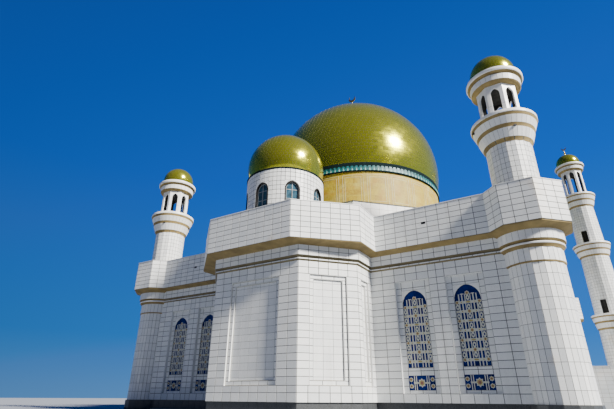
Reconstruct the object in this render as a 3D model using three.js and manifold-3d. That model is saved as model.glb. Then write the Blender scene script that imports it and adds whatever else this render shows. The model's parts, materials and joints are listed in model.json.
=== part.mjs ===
// A mosque building at half size: a clad hall with a polygonal bay on its rear and its front side,
// four round corner towers that each carry a small minaret, one tall minaret beside the front right
// corner, and a large and a small dome. Left and right are as seen from the rear side.
import * as THREE from 'three';
import { mergeVertices } from 'three/addons/utils/BufferGeometryUtils.js';
import Module from 'manifold-3d';

const wasm = await Module();
wasm.setup();

// Every length below is the real building's, in metres. The last group turns them into the
// half-size model's millimetres. The origin is on the ground under the centre of the main dome.
const MODEL_MM_PER_METRE = 500;
const GAP = 0.0006;

// Levels
const FLOOR_TOP = 0.3;
const CLADDING_FOOT = 1.0;
const FILLET_LOW = 10.37;
const FILLET_HIGH = 10.49;
const FRIEZE_LOW = 10.66;
const PARAPET_FOOT = 11.66;
const SLAB_FOOT = 11.74;
const ROOF_TOP = 12.06;
const PARAPET_TOP = 14.56;

// Plan: parapet planes, and the tower axes inside them
const REAR_PLANE = -14.19;
const FRONT_PLANE = 31.41;
const SIDE_PLANE = 20.06;
const TOWER_INSET = 1.71;
const TOWER_X = SIDE_PLANE - TOWER_INSET;
const SIDE_LENGTH = FRONT_PLANE - REAR_PLANE;
const SIDE_MIDDLE = (FRONT_PLANE + REAR_PLANE) / 2;
const ROOF_SPLIT = 0;
const BAY_ROOF_SPLIT = -11.5;

// Walls and their mouldings, as distances from the outer wall face
const WALL_INSET = 0.8;
const WALL_THICK = 0.5;
const PLINTH_INSET = 0.1;
const FRIEZE_OUT = 0.2;
const FILLET_OUT = 0.12;
const PARAPET_THICK = 0.25;

// Bay outline: the walls, and the parapet that overhangs them
const BAY_WALL = { half: 3.88, front: -4.98, side: 6.92, shoulder: -1.65 };
const BAY_PARAPET = { half: 3.96, front: -6.28, side: 7.81, shoulder: -2.72 };

// Windows in tall recessed panels
const WINDOW = { width: 1.8, foot: 3.2, spring: 7.55, apex: 8.6, steps: 3 };
const RECESS = { width: 2.6, foot: 1.57, top: 9.27, depth: 0.25 };
const WINDOW_PITCH = 3.75;
const REAR_WINDOWS = [10.15, 10.15 + WINDOW_PITCH];
const SIDE_WINDOW_COUNT = 10;
const GLASS_THICK = 0.06;
const GLASS_LAP = 0.25;

// Blind panels of the bay, stepped inwards
const BLIND = { foot: 2.0, top: 9.35, steps: 2, step: 0.3, depth: 0.12 };
const BLIND_WIDTHS = { front: 4.5, corner: 2.8, side: 1.3 };

// Doorway of the front bay, and its two fixed leaves
const DOORWAY = { width: 3.4, spring: 3.9, apex: 5.7, steps: 6 };
const DOOR_THICK = 0.12;
const DOOR_DEPTH = 0.1;

// Corner towers and the heads of the minarets
const TOWER_SIDES = 16;
const TOWER = { base: 1.95, low: 1.81, high: 1.87, band: 9.29, fillet: 2.03, frieze: 2.14, neck: 10.23 };
const CROWN = { apothem: 2.73, wall: 0.25 };
const MINARET = { low: 1.57, high: 1.6, deck: 20.63, drop: 2.29, rim: 2.38 };
const HEAD = { corner: 1.55, inner: 1.2, dome: 1.75, domeRise: 0.43, steps: 5 };
const LANTERN_SMALL = { height: 3.02, width: 0.54, foot: 0.12, spring: 2.15, apex: 2.55, steps: 2 };
const LANTERN_TALL = { height: 4.52, width: 0.54, foot: 0.12, spring: 3.7, apex: 4.1, steps: 2 };
const LANTERN_CEILING = 0.1;

// A balcony's profile: [share of the way out from the shaft to the rim, share of the drop below the deck]
const BALCONY = [
  [0, 1], [0.18, 0.9], [0.49, 0.58], [0.42, 0.55], [0.58, 0.46], [0.86, 0.21], [0.82, 0.185], [1, 0.12],
  [1, 0],
];

// The cornice over a lantern, as [radius, level above the lantern]
const CORNICE = [
  [HEAD.corner, 0], [1.85, 0.16], [1.9, 0.64], [1.83, 0.7],
  [2.07, 0.86], [2.13, 0.9], [2.13, 1.14], [1.7, 1.35],
];
const CORNICE_HEIGHT = 1.35;

// Tall minaret and the annex that it stands on
const TALL = { x: 24.65, y: 32.81 };
const TALL_STAGES = [
  { foot: 5.2, low: 2.06, high: 1.98, deck: 12.5, drop: 2.1, rim: 2.52 },
  { foot: 12.5, low: 1.95, high: 1.85, deck: 23.13, drop: 2.03, rim: 2.5 },
  { foot: 23.13, low: 1.85, high: 1.7, deck: 31.43, drop: 2.15, rim: 2.42 },
];
const TALL_DOORS = { width: 0.75, foot: 0.1, height: 1.95, depth: 0.5, angle: -108 };
const ANNEX = { left: SIDE_PLANE - WALL_INSET, right: 28.1, rear: 25.4, front: 36.2, top: 5.2, wall: 0.4 };

// Main dome on its octagonal base, drum and tiled band
const DOME_SIDES = 36;
const DOME_BASE = { apothem: 10.6, top: 18.3 };
const WELL_APOTHEM = DOME_BASE.apothem + GAP;
const DRUM = { outer: 9.6, inner: 9.0, top: 22.48 };
const BAND = { outer: 9.72, top: 23.5 };
const DOME = { radius: 10, centre: 25.98, thick: 0.3, steps: 8 };

// Finials, as [radius, level above the dome], with a crescent on top
const FINIAL_SIDES = 10;
const DOME_FINIAL = {
  profile: [
    [0.34, 0], [0.34, 0.12], [0.12, 0.3], [0.12, 0.7], [0.36, 1.05], [0.12, 1.4], [0.1, 1.7], [0.26, 1.98],
    [0.08, 2.26], [0.06, 2.9],
  ],
  crescent: { radius: 0.5, centre: 3.32 },
};
const TALL_FINIAL = {
  profile: [[0.14, 0], [0.06, 0.14], [0.06, 0.3], [0.17, 0.5], [0.05, 0.7], [0.04, 1.08]],
  crescent: { radius: 0.36, centre: 1.4 },
};
const CRESCENT = { hole: 0.76, rise: 0.36, thick: 0.24, steps: 24 };

// Small dome over the rear bay
const BAY_DOME_Y = REAR_PLANE - 1.35;
const BAY_DRUM_SIDES = 24;
const BAY_DRUM = { outer: 3.4, inner: 3.05, top: 18.88 };
const BAY_KERB = { apothem: 3.45, top: 12.3 };
const BAY_DRUM_WINDOW = { width: 1.1, foot: 15.3, spring: 17.0, apex: 17.6, steps: 3 };
const BAY_DRUM_WINDOW_COUNT = 8;
const BAY_DOME = { radius: 3.47, centre: 20.24, thick: 0.25, steps: 6 };

// Shapes become solids for joining and cutting, and solids become geometry again
function solid(geometry) {
  geometry.deleteAttribute('normal');
  geometry.deleteAttribute('uv');
  const merged = mergeVertices(geometry, 1e-5);
  const index = merged.index.array;
  const kept = [];
  for (let i = 0; i < index.length; i += 3) {
    const [a, b, c] = [index[i], index[i + 1], index[i + 2]];
    if (a !== b && b !== c && c !== a) {
      kept.push(a, b, c);
    }
  }
  const vertProperties = new Float32Array(merged.attributes.position.array);
  const triVerts = new Uint32Array(kept);
  return new wasm.Manifold(new wasm.Mesh({ numProp: 3, vertProperties, triVerts }));
}

function geometryOf(body) {
  const mesh = body.getMesh();
  const geometry = new THREE.BufferGeometry();
  geometry.setAttribute('position', new THREE.BufferAttribute(mesh.vertProperties, 3));
  geometry.setIndex(new THREE.BufferAttribute(mesh.triVerts, 1));
  return geometry;
}

const vectors = (points) => points.map(([x, y]) => new THREE.Vector2(x, y));
const extruded = (points, depth) => {
  return new THREE.ExtrudeGeometry(new THREE.Shape(vectors(points)), { depth, bevelEnabled: false });
};

// A plan outline raised from one level to another
const raised = (points, low, high) => solid(extruded(points, high - low).translate(0, 0, low));

// A profile of [radius, level] points turned about the vertical axis
const turned = (profile, sides) => {
  return solid(new THREE.LatheGeometry(vectors(profile), sides).rotateX(Math.PI / 2));
};

// An elevation outline of [along, level] points, pushed into a wall from one depth to another
const pushed = (points, near, far) => extruded(points, far - near).rotateX(Math.PI / 2).translate(0, far, 0);

const rectangle = (left, right, low, high) => [[left, low], [right, low], [right, high], [left, high]];

// A regular polygon with a flat side towards +X
const polygon = (sides, apothem) => {
  const radius = apothem / Math.cos(Math.PI / sides);
  return Array.from({ length: sides }, (_, i) => {
    const angle = ((i + 0.5) * 2 * Math.PI) / sides;
    return [radius * Math.cos(angle), radius * Math.sin(angle)];
  });
};

// A pointed arch outline: straight jambs, then two arcs that meet at the apex
function arch({ width, foot, spring, apex, steps }, middle = 0) {
  const half = width / 2;
  const rise = apex - spring;
  const radius = (half * half + rise * rise) / (2 * half);
  const sweep = Math.asin(rise / radius);
  const right = Array.from({ length: steps + 1 }, (_, i) => {
    const angle = (sweep * i) / steps;
    return [half - radius + radius * Math.cos(angle), spring + radius * Math.sin(angle)];
  });
  right[steps] = [0, apex];
  const left = right.slice(0, -1).reverse().map(([x, z]) => [-x, z]);
  return [[-half, foot], [half, foot], ...right, ...left].map(([x, z]) => [x + middle, z]);
}

// Lines of wall or parapet run from left to right as seen from outside, so inward is to their left
const inward = ([ax, ay], [bx, by]) => {
  const length = Math.hypot(bx - ax, by - ay);
  return [(ay - by) / length, (bx - ax) / length];
};

function offsetPoint(line, i, distance) {
  const before = i > 0 ? inward(line[i - 1], line[i]) : inward(line[i], line[i + 1]);
  const after = i < line.length - 1 ? inward(line[i], line[i + 1]) : before;
  const mitre = distance / (1 + before[0] * after[0] + before[1] * after[1]);
  return [line[i][0] + mitre * (before[0] + after[0]), line[i][1] + mitre * (before[1] + after[1])];
}

// A band along part of a line, between two distances inward of it, with mitred corners
function band(line, from, to, outer, inner, low, high) {
  const indices = Array.from({ length: to - from + 1 }, (_, i) => from + i);
  const moved = (distance) => {
    const points = indices.map((i) => offsetPoint(line, i, distance));
    const [startX, startY] = inward(line[from], line[from + 1]);
    const [endX, endY] = inward(line[to - 1], line[to]);
    const last = points.length - 1;
    points[0] = [points[0][0] + startY * GAP / 2, points[0][1] - startX * GAP / 2];
    points[last] = [points[last][0] - endY * GAP / 2, points[last][1] + endX * GAP / 2];
    return points;
  };
  return raised([...moved(outer), ...moved(inner).reverse()], low, high);
}

// Puts an elevation cut on the stretch of wall from one point of its line to the next
function onWall(geometry, [ax, ay], [bx, by]) {
  return solid(geometry.rotateZ(Math.atan2(by - ay, bx - ax)).translate((ax + bx) / 2, (ay + by) / 2, 0));
}

// A wall: recessed plinth, cladding, fillet and frieze under the soffit
function wallBody(line, from, to) {
  const plinth = band(line, from, to, PLINTH_INSET, WALL_THICK, FLOOR_TOP + GAP, CLADDING_FOOT);
  const cladding = band(line, from, to, 0, WALL_THICK, CLADDING_FOOT, SLAB_FOOT - GAP);
  const fillet = band(line, from, to, -FILLET_OUT, WALL_THICK / 2, FILLET_LOW, FILLET_HIGH);
  const frieze = band(line, from, to, -FRIEZE_OUT, WALL_THICK / 2, FRIEZE_LOW, SLAB_FOOT - GAP);
  return plinth.add(cladding).add(fillet).add(frieze);
}

// One window bay: the tall recess and the arched opening through the wall
function windowCuts(middle) {
  const [left, right] = [middle - RECESS.width / 2, middle + RECESS.width / 2];
  return [
    pushed(rectangle(left, right, RECESS.foot, RECESS.top), -WALL_THICK, RECESS.depth),
    pushed(arch(WINDOW, middle), -WALL_THICK, 2 * WALL_THICK),
  ];
}

function blindCuts(width) {
  return Array.from({ length: BLIND.steps }, (_, i) => {
    const inset = i * BLIND.step;
    const half = width / 2 - inset;
    const outline = rectangle(-half, half, BLIND.foot + inset, BLIND.top - inset);
    return pushed(outline, -WALL_THICK, BLIND.depth * (i + 1));
  });
}

const cutAll = (body, line, i, cuts) => {
  return cuts.reduce((rest, cut) => rest.subtract(onWall(cut, line[i], line[i + 1])), body);
};

// One pane behind all the windows of a wall
function glassBody(line, i, middles) {
  const left = Math.min(...middles) - WINDOW.width / 2 - GLASS_LAP;
  const right = Math.max(...middles) + WINDOW.width / 2 + GLASS_LAP;
  const outline = rectangle(left, right, WINDOW.foot - GLASS_LAP, WINDOW.apex + GLASS_LAP);
  const near = WALL_THICK + GAP;
  return onWall(pushed(outline, near, near + GLASS_THICK), line[i], line[i + 1]);
}

// The corner tower's profile, which also cuts the walls that meet it
function towerProfile(extra, foot, top) {
  const { base, low, high, neck, fillet, frieze } = TOWER;
  const points = [
    [base, foot], [base, CLADDING_FOOT], [low, CLADDING_FOOT], [low, TOWER.band], [high, TOWER.band],
    [high, neck], [fillet, FILLET_LOW], [fillet, FILLET_HIGH], [high, FILLET_HIGH], [high, FRIEZE_LOW],
    [frieze, FRIEZE_LOW], [frieze, top],
  ];
  return [[0, foot], ...points.map(([r, z]) => [r + extra, z]), [0, top]];
}

const towerCut = (x, y) => {
  const shaft = new THREE.LatheGeometry(vectors(towerProfile(2 * GAP, -1, PARAPET_FOOT)), TOWER_SIDES);
  const crown = extruded(polygon(8, CROWN.apothem + GAP), 2 * PARAPET_TOP);
  return [
    solid(shaft.rotateX(Math.PI / 2).translate(x, y, 0)),
    solid(crown.translate(x, y, PARAPET_FOOT - GAP)),
  ];
};

const clearOfTowers = (body, places) => {
  return places.flatMap(([x, y]) => towerCut(x, y)).reduce((rest, cut) => rest.subtract(cut), body);
};

// Materials
const finish = (color, roughness, metalness = 0) => {
  return new THREE.MeshStandardMaterial({ color, roughness, metalness });
};
const MARBLE = () => finish(0xd9dadb, 0.45);
const CONCRETE = () => finish(0x8d8a84, 0.9);
const OCHRE = () => finish(0xc99a4a, 0.5);
const TURQUOISE = () => finish(0x1f8f93, 0.35);
const GOLD = () => finish(0xa9a238, 0.3, 0.9);
const BLUE_GLASS = () => finish(0x1b3a9c, 0.2);
const TEAL_GLASS = () => finish(0x2c5f73, 0.2);
const DARK_WOOD = () => finish(0x4a2f1e, 0.6);

const building = new THREE.Group();

function place(name, body, material, group = building) {
  const mesh = new THREE.Mesh(geometryOf(body), material);
  mesh.name = name;
  group.add(mesh);
  return mesh;
}

// Facade lines in a frame with x along the facade, y inward and the origin on the parapet plane
const bayLine = ({ half, front, side, shoulder }, wallPlane, reach) => [
  [-reach, wallPlane], [-side, wallPlane], [-side, shoulder], [-half, front],
  [half, front], [side, shoulder], [side, wallPlane], [reach, wallPlane],
];
const WALL_LINE = bayLine(BAY_WALL, WALL_INSET, TOWER_X);
const PARAPET_LINE = bayLine(BAY_PARAPET, 0, TOWER_X);
const FACADE_TOWERS = [[-TOWER_X, TOWER_INSET], [TOWER_X, TOWER_INSET]];

// The rear and the front facade: walls beside the bay, the bay's three outer walls and the parapet
function facade(side, group) {
  const mirrored = REAR_WINDOWS.map((x) => -x);
  const wallMiddle = (TOWER_X + BAY_WALL.side) / 2;
  const wings = [
    { name: 'left', from: 0, to: 2, flat: 0, cheek: 1, middles: mirrored.map((x) => x + wallMiddle) },
    { name: 'right', from: 5, to: 7, flat: 6, cheek: 5, middles: REAR_WINDOWS.map((x) => x - wallMiddle) },
  ];
  for (const wing of wings) {
    let wall = wallBody(WALL_LINE, wing.from, wing.to);
    wall = cutAll(wall, WALL_LINE, wing.flat, wing.middles.flatMap(windowCuts));
    wall = cutAll(wall, WALL_LINE, wing.cheek, blindCuts(BLIND_WIDTHS.side));
    place(`${side}_wall_${wing.name}`, clearOfTowers(wall, FACADE_TOWERS), MARBLE(), group);
    place(`${side}_glass_${wing.name}`, glassBody(WALL_LINE, wing.flat, wing.middles), BLUE_GLASS(), group);
  }
  for (const [name, i] of [['left', 2], ['right', 4]]) {
    const wall = cutAll(wallBody(WALL_LINE, i, i + 1), WALL_LINE, i, blindCuts(BLIND_WIDTHS.corner));
    place(`${side}_bay_corner_${name}`, wall, MARBLE(), group);
  }
  let front = wallBody(WALL_LINE, 3, 4);
  front = cutAll(front, WALL_LINE, 3, blindCuts(BLIND_WIDTHS.front));
  if (side === 'front') {
    const doorway = { ...DOORWAY, foot: 0 };
    front = cutAll(front, WALL_LINE, 3, [pushed(arch(doorway), -WALL_THICK, 2 * WALL_THICK)]);
    const leaves = {
      ...DOORWAY, foot: FLOOR_TOP + GAP, width: DOORWAY.width - 2 * GAP, apex: DOORWAY.apex - 2 * GAP,
    };
    const near = BLIND.depth * BLIND.steps + DOOR_DEPTH;
    const doors = onWall(pushed(arch(leaves), near, near + DOOR_THICK), WALL_LINE[3], WALL_LINE[4]);
    place('front_doors', doors, DARK_WOOD(), group);
  }
  place(`${side}_bay_front`, front, MARBLE(), group);
  const parapet = band(PARAPET_LINE, 0, 7, 0, PARAPET_THICK, PARAPET_FOOT, PARAPET_TOP);
  place(`${side}_parapet`, clearOfTowers(parapet, FACADE_TOWERS), MARBLE(), group);
}

const rear = new THREE.Group();
rear.position.set(0, REAR_PLANE, 0);
facade('rear', rear);
const front = new THREE.Group();
front.position.set(0, FRONT_PLANE, 0);
front.rotation.z = Math.PI;
facade('front', front);
building.add(rear, front);

// The long side walls, each with a row of window bays
function longSide(name, group) {
  const reach = SIDE_LENGTH / 2 - TOWER_INSET;
  const wallLine = [[-reach, WALL_INSET], [reach, WALL_INSET]];
  const towers = [[-reach, TOWER_INSET], [reach, TOWER_INSET]];
  const middles = Array.from({ length: SIDE_WINDOW_COUNT }, (_, i) => {
    return (i - (SIDE_WINDOW_COUNT - 1) / 2) * WINDOW_PITCH;
  });
  const wall = cutAll(wallBody(wallLine, 0, 1), wallLine, 0, middles.flatMap(windowCuts));
  place(`${name}_wall`, clearOfTowers(wall, towers), MARBLE(), group);
  place(`${name}_glass`, glassBody(wallLine, 0, middles), BLUE_GLASS(), group);
  const parapet = band([[-reach, 0], [reach, 0]], 0, 1, 0, PARAPET_THICK, PARAPET_FOOT, PARAPET_TOP);
  place(`${name}_parapet`, clearOfTowers(parapet, towers), MARBLE(), group);
}

for (const [name, sign] of [['right', 1], ['left', -1]]) {
  const side = new THREE.Group();
  side.position.set(sign * SIDE_PLANE, SIDE_MIDDLE, 0);
  side.rotation.z = (sign * Math.PI) / 2;
  longSide(name, side);
  building.add(side);
}

// Floor and roof slabs, in the building's own frame
const TOWERS = [
  { name: 'rear_left', x: -TOWER_X, y: REAR_PLANE + TOWER_INSET },
  { name: 'rear_right', x: TOWER_X, y: REAR_PLANE + TOWER_INSET },
  { name: 'front_left', x: -TOWER_X, y: FRONT_PLANE - TOWER_INSET },
  { name: 'front_right', x: TOWER_X, y: FRONT_PLANE - TOWER_INSET },
];
const TOWER_PLACES = TOWERS.map(({ x, y }) => [x, y]);

function bayPoints(line, inset) {
  const shape = line.slice(1, 7).map((_, i) => offsetPoint(line, i + 1, inset));
  const rearPoints = shape.map(([x, y]) => [x, y + REAR_PLANE]);
  const frontPoints = shape.map(([x, y]) => [-x, FRONT_PLANE - y]);
  return { rearPoints, frontPoints };
}

const floorEdge = bayPoints(WALL_LINE, PLINTH_INSET);
const floorX = SIDE_PLANE - WALL_INSET - PLINTH_INSET;
const floorRear = REAR_PLANE + WALL_INSET + PLINTH_INSET;
const floorFront = FRONT_PLANE - WALL_INSET - PLINTH_INSET;
const floorPoints = [
  [-floorX, floorRear], ...floorEdge.rearPoints, [floorX, floorRear],
  [floorX, floorFront], ...floorEdge.frontPoints, [-floorX, floorFront],
];
place('floor_slab', clearOfTowers(raised(floorPoints, 0, FLOOR_TOP), TOWER_PLACES), CONCRETE());

const roofEdge = bayPoints(PARAPET_LINE, PARAPET_THICK + GAP);
const roofX = SIDE_PLANE - PARAPET_THICK - GAP;
const roofRear = REAR_PLANE + PARAPET_THICK + GAP;
const roofFront = FRONT_PLANE - PARAPET_THICK - GAP;
const bayRoofX = BAY_PARAPET.side - PARAPET_THICK - GAP;
const rearRoof = raised([
  [-roofX, roofRear], [-bayRoofX - GAP, roofRear],
  [-bayRoofX - GAP, BAY_ROOF_SPLIT + GAP], [bayRoofX + GAP, BAY_ROOF_SPLIT + GAP],
  [bayRoofX + GAP, roofRear], [roofX, roofRear],
  [roofX, ROOF_SPLIT - GAP], [-roofX, ROOF_SPLIT - GAP],
], SLAB_FOOT, ROOF_TOP);
const rearBayRoof = raised([
  [-bayRoofX, BAY_ROOF_SPLIT], ...roofEdge.rearPoints.slice(1, -1), [bayRoofX, BAY_ROOF_SPLIT],
], SLAB_FOOT, ROOF_TOP);
const frontRoof = raised([
  [-roofX, ROOF_SPLIT], [roofX, ROOF_SPLIT], [roofX, roofFront], ...roofEdge.frontPoints, [-roofX, roofFront],
], SLAB_FOOT, ROOF_TOP);
const well = (sides, apothem, y = 0) => {
  const points = polygon(sides, apothem).map(([px, py]) => [px, py + y]);
  return raised(points, 0, 2 * DOME_BASE.top);
};
place('rear_roof', clearOfTowers(rearRoof.subtract(well(8, WELL_APOTHEM)), TOWER_PLACES), CONCRETE());
place('rear_bay_roof', rearBayRoof.subtract(well(8, BAY_KERB.apothem + GAP, BAY_DOME_Y)), CONCRETE());
place('front_roof', clearOfTowers(frontRoof.subtract(well(8, WELL_APOTHEM)), TOWER_PLACES), CONCRETE());

// Round shells
const ring = (outer, inner, low, high, sides) => {
  return turned([[inner, low], [outer, low], [outer, high], [inner, high], [inner, low]], sides);
};

function domeShell({ radius, centre, thick, steps }, foot, sides) {
  const arc = (r, from, count) => Array.from({ length: count }, (_, i) => {
    const angle = from + ((Math.PI / 2 - from) * i) / count;
    return [r * Math.cos(angle), centre + r * Math.sin(angle)];
  });
  const low = Math.asin((foot - centre) / radius);
  const innerRadius = radius - thick;
  const innerLow = Math.asin((foot - centre) / innerRadius);
  const outside = arc(radius, low, steps);
  const inside = arc(innerRadius, innerLow, Math.ceil(steps / 2)).reverse();
  return turned([[0, centre + innerRadius], ...inside, ...outside, [0, centre + radius]], sides);
}

// A turned stem and an upright crescent that opens upwards, facing the rear and the front
function finial({ profile, crescent }, foot) {
  const points = profile.map(([r, z]) => [r, foot + z]);
  const stem = turned([[0, foot], ...points, [0, points.at(-1)[1]]], FINIAL_SIDES);
  const disc = (radius, rise, thick) => {
    const flat = new THREE.CylinderGeometry(radius, radius, thick, CRESCENT.steps);
    return solid(flat.translate(0, 0, foot + crescent.centre + rise));
  };
  const { radius } = crescent;
  const horns = disc(radius, 0, CRESCENT.thick * radius);
  return stem.add(horns.subtract(disc(CRESCENT.hole * radius, CRESCENT.rise * radius, radius)));
}

// The main dome's octagonal base, which stands in the roof, then its drum, tiled band, shell and finial
const base = raised(polygon(8, DOME_BASE.apothem), SLAB_FOOT, DOME_BASE.top);
place('dome_base', base.subtract(well(DOME_SIDES, DRUM.inner)), MARBLE());
place('dome_drum', ring(DRUM.outer, DRUM.inner, DOME_BASE.top + GAP, DRUM.top, DOME_SIDES), OCHRE());
place('dome_band', ring(BAND.outer, DRUM.inner, DRUM.top + GAP, BAND.top, DOME_SIDES), TURQUOISE());
place('main_dome', domeShell(DOME, BAND.top + GAP, DOME_SIDES), GOLD());
place('main_dome_finial', finial(DOME_FINIAL, DOME.centre + DOME.radius + GAP), GOLD());

// The small dome over the rear bay
function bayDrum() {
  const kerb = raised(polygon(8, BAY_KERB.apothem), SLAB_FOOT, BAY_KERB.top);
  const drum = raised(polygon(BAY_DRUM_SIDES, BAY_DRUM.outer), SLAB_FOOT, BAY_DRUM.top);
  let body = kerb.add(drum).subtract(well(BAY_DRUM_SIDES, BAY_DRUM.inner));
  for (let i = 0; i < BAY_DRUM_WINDOW_COUNT; i += 1) {
    const cut = pushed(arch(BAY_DRUM_WINDOW), BAY_DRUM.inner / 2, 2 * BAY_DRUM.outer);
    body = body.subtract(solid(cut.rotateZ((i * 2 * Math.PI) / BAY_DRUM_WINDOW_COUNT)));
  }
  return body;
}

const bayTop = new THREE.Group();
bayTop.position.set(0, BAY_DOME_Y, 0);
place('bay_drum', bayDrum(), MARBLE(), bayTop);
const paneFoot = BAY_DRUM_WINDOW.foot - GLASS_LAP;
const paneTop = BAY_DRUM_WINDOW.apex + GLASS_LAP;
const paneOuter = BAY_DRUM.inner - 2 * GAP;
const bayGlass = ring(paneOuter, paneOuter - GLASS_THICK, paneFoot, paneTop, BAY_DRUM_SIDES);
place('bay_drum_glass', bayGlass, TEAL_GLASS(), bayTop);
place('bay_dome', domeShell(BAY_DOME, BAY_DRUM.top + GAP, BAY_DRUM_SIDES), GOLD(), bayTop);
building.add(bayTop);

// A balcony: two flared tiers and a rim, from the shaft's top out to the deck's edge
function balcony({ high, deck, drop, rim }) {
  return BALCONY.map(([out, down]) => [high + out * (rim - high), deck - down * drop]);
}

// An open eight-sided lantern under a round cornice
function lanternBody(lantern) {
  const { height, foot, apex } = lantern;
  const eightSided = (cornerRadius, low, high) => {
    const points = polygon(8, cornerRadius * Math.cos(Math.PI / 8));
    return raised(points, low, high);
  };
  let body = eightSided(HEAD.corner, 0, height);
  body = body.subtract(eightSided(HEAD.inner, foot, apex + LANTERN_CEILING));
  for (let i = 0; i < 4; i += 1) {
    const cut = pushed(arch(lantern), -2 * HEAD.corner, 2 * HEAD.corner);
    body = body.subtract(solid(cut.rotateZ((i * Math.PI) / 4)));
  }
  const profile = CORNICE.map(([r, z]) => [r, height + z]);
  return body.add(turned([[0, height], ...profile, [0, height + CORNICE_HEIGHT]], TOWER_SIDES));
}

function headDome(foot) {
  const { dome, domeRise, steps } = HEAD;
  const centre = foot + domeRise;
  const low = -Math.asin(domeRise / dome);
  const arc = Array.from({ length: steps }, (_, i) => {
    const angle = low + ((Math.PI / 2 - low) * i) / steps;
    return [dome * Math.cos(angle), centre + dome * Math.sin(angle)];
  });
  return turned([[0, foot], ...arc, [0, centre + dome]], TOWER_SIDES);
}

// Corner towers: shaft, octagonal crown at parapet height, and the small minaret on it
function crownBody() {
  const outside = raised(polygon(8, CROWN.apothem), PARAPET_FOOT, PARAPET_TOP);
  return outside.subtract(raised(polygon(8, CROWN.apothem - CROWN.wall), ROOF_TOP, 2 * PARAPET_TOP));
}

for (const { name, x, y } of TOWERS) {
  const tower = new THREE.Group();
  tower.position.set(x, y, 0);
  place(`tower_${name}`, turned(towerProfile(0, 0, PARAPET_FOOT - GAP), TOWER_SIDES), MARBLE(), tower);
  place(`crown_${name}`, crownBody(), MARBLE(), tower);
  const { low, deck } = MINARET;
  const shaft = [[0, ROOF_TOP + GAP], [low, ROOF_TOP + GAP], ...balcony(MINARET), [0, deck]];
  place(`minaret_${name}`, turned(shaft, TOWER_SIDES), MARBLE(), tower);
  const lantern = place(`lantern_${name}`, lanternBody(LANTERN_SMALL), MARBLE(), tower);
  lantern.position.z = deck + GAP;
  const domeFoot = deck + LANTERN_SMALL.height + CORNICE_HEIGHT + 2 * GAP;
  place(`minaret_dome_${name}`, headDome(domeFoot), GOLD(), tower);
  building.add(tower);
}

// The annex, a hollow block that wraps the front right tower, and the tall minaret on its roof
function annexBody() {
  const { left, right, rear: back, front: fore, top, wall } = ANNEX;
  const outside = raised(rectangle(left + GAP, right, back, fore), 0, top);
  const inside = raised(rectangle(left + wall, right - wall, back + wall, fore - wall), -1, top - wall);
  const tower = TOWERS[3];
  const around = polygon(TOWER_SIDES, TOWER.base + wall).map(([px, py]) => [px + tower.x, py + tower.y]);
  const sleeve = raised(around, -1, top);
  return clearOfTowers(outside.subtract(inside.subtract(sleeve)), [[tower.x, tower.y]]);
}

place('minaret_annex', annexBody(), MARBLE());

function tallProfile() {
  const points = TALL_STAGES.flatMap((stage) => [[stage.low, stage.foot], ...balcony(stage)]);
  const foot = TALL_STAGES[0].foot + GAP;
  points[0] = [points[0][0], foot];
  return [[0, foot], ...points, [0, TALL_STAGES[2].deck]];
}

function tallShaft() {
  const { width, height, depth, angle } = TALL_DOORS;
  let body = turned(tallProfile(), TOWER_SIDES);
  for (const { foot, low } of TALL_STAGES.slice(1)) {
    const sill = foot + TALL_DOORS.foot;
    const cut = pushed(rectangle(-width / 2, width / 2, sill, sill + height), low - depth, 2 * low);
    body = body.subtract(solid(cut.rotateZ(((angle - 90) * Math.PI) / 180)));
  }
  return body;
}

const tall = new THREE.Group();
tall.position.set(TALL.x, TALL.y, 0);
place('tall_minaret', tallShaft(), MARBLE(), tall);
const tallDeck = TALL_STAGES[2].deck;
place('tall_lantern', lanternBody(LANTERN_TALL), MARBLE(), tall).position.z = tallDeck + GAP;
const tallDomeFoot = tallDeck + LANTERN_TALL.height + CORNICE_HEIGHT + 2 * GAP;
place('tall_dome', headDome(tallDomeFoot), GOLD(), tall);
place('tall_finial', finial(TALL_FINIAL, tallDomeFoot + HEAD.domeRise + HEAD.dome + GAP), GOLD(), tall);
building.add(tall);

building.scale.setScalar(MODEL_MM_PER_METRE);

export default building;
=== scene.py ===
"""The looks of the half-size mosque building: slabs, mouldings, glazing, mosaic and gilding laid
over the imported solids. Left and right are as seen from the rear side, which the photograph shows."""

import json
import random
from math import asin, cos, dist, pi, radians, sin, sqrt, tan

import bpy
from mathutils import Matrix, Vector


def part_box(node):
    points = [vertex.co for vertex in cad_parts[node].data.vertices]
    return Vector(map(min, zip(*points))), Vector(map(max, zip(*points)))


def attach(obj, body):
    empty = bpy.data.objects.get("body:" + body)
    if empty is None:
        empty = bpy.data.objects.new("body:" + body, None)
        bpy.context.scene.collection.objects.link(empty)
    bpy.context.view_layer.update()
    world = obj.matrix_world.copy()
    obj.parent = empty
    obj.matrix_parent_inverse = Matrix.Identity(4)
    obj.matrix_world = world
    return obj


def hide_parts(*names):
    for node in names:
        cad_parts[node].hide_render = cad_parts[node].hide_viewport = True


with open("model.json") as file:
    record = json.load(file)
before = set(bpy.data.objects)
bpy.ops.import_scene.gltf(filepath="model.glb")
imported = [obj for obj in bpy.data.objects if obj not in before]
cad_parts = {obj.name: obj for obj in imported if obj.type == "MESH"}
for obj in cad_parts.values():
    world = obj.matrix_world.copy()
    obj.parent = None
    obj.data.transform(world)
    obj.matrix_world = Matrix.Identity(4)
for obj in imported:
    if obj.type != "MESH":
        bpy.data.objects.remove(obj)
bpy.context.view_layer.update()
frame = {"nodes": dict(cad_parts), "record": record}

# Lengths are the real building's, in metres, and SCALE turns them into the model's. The materials, the
# studio and the camera are in the model's own metres.
SCALE = 0.5


def real_box(node):
    low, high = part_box(node)
    return low / SCALE, high / SCALE


def middle_of(node):
    low, high = real_box(node)
    return (low.x + high.x) / 2, (low.y + high.y) / 2


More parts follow.
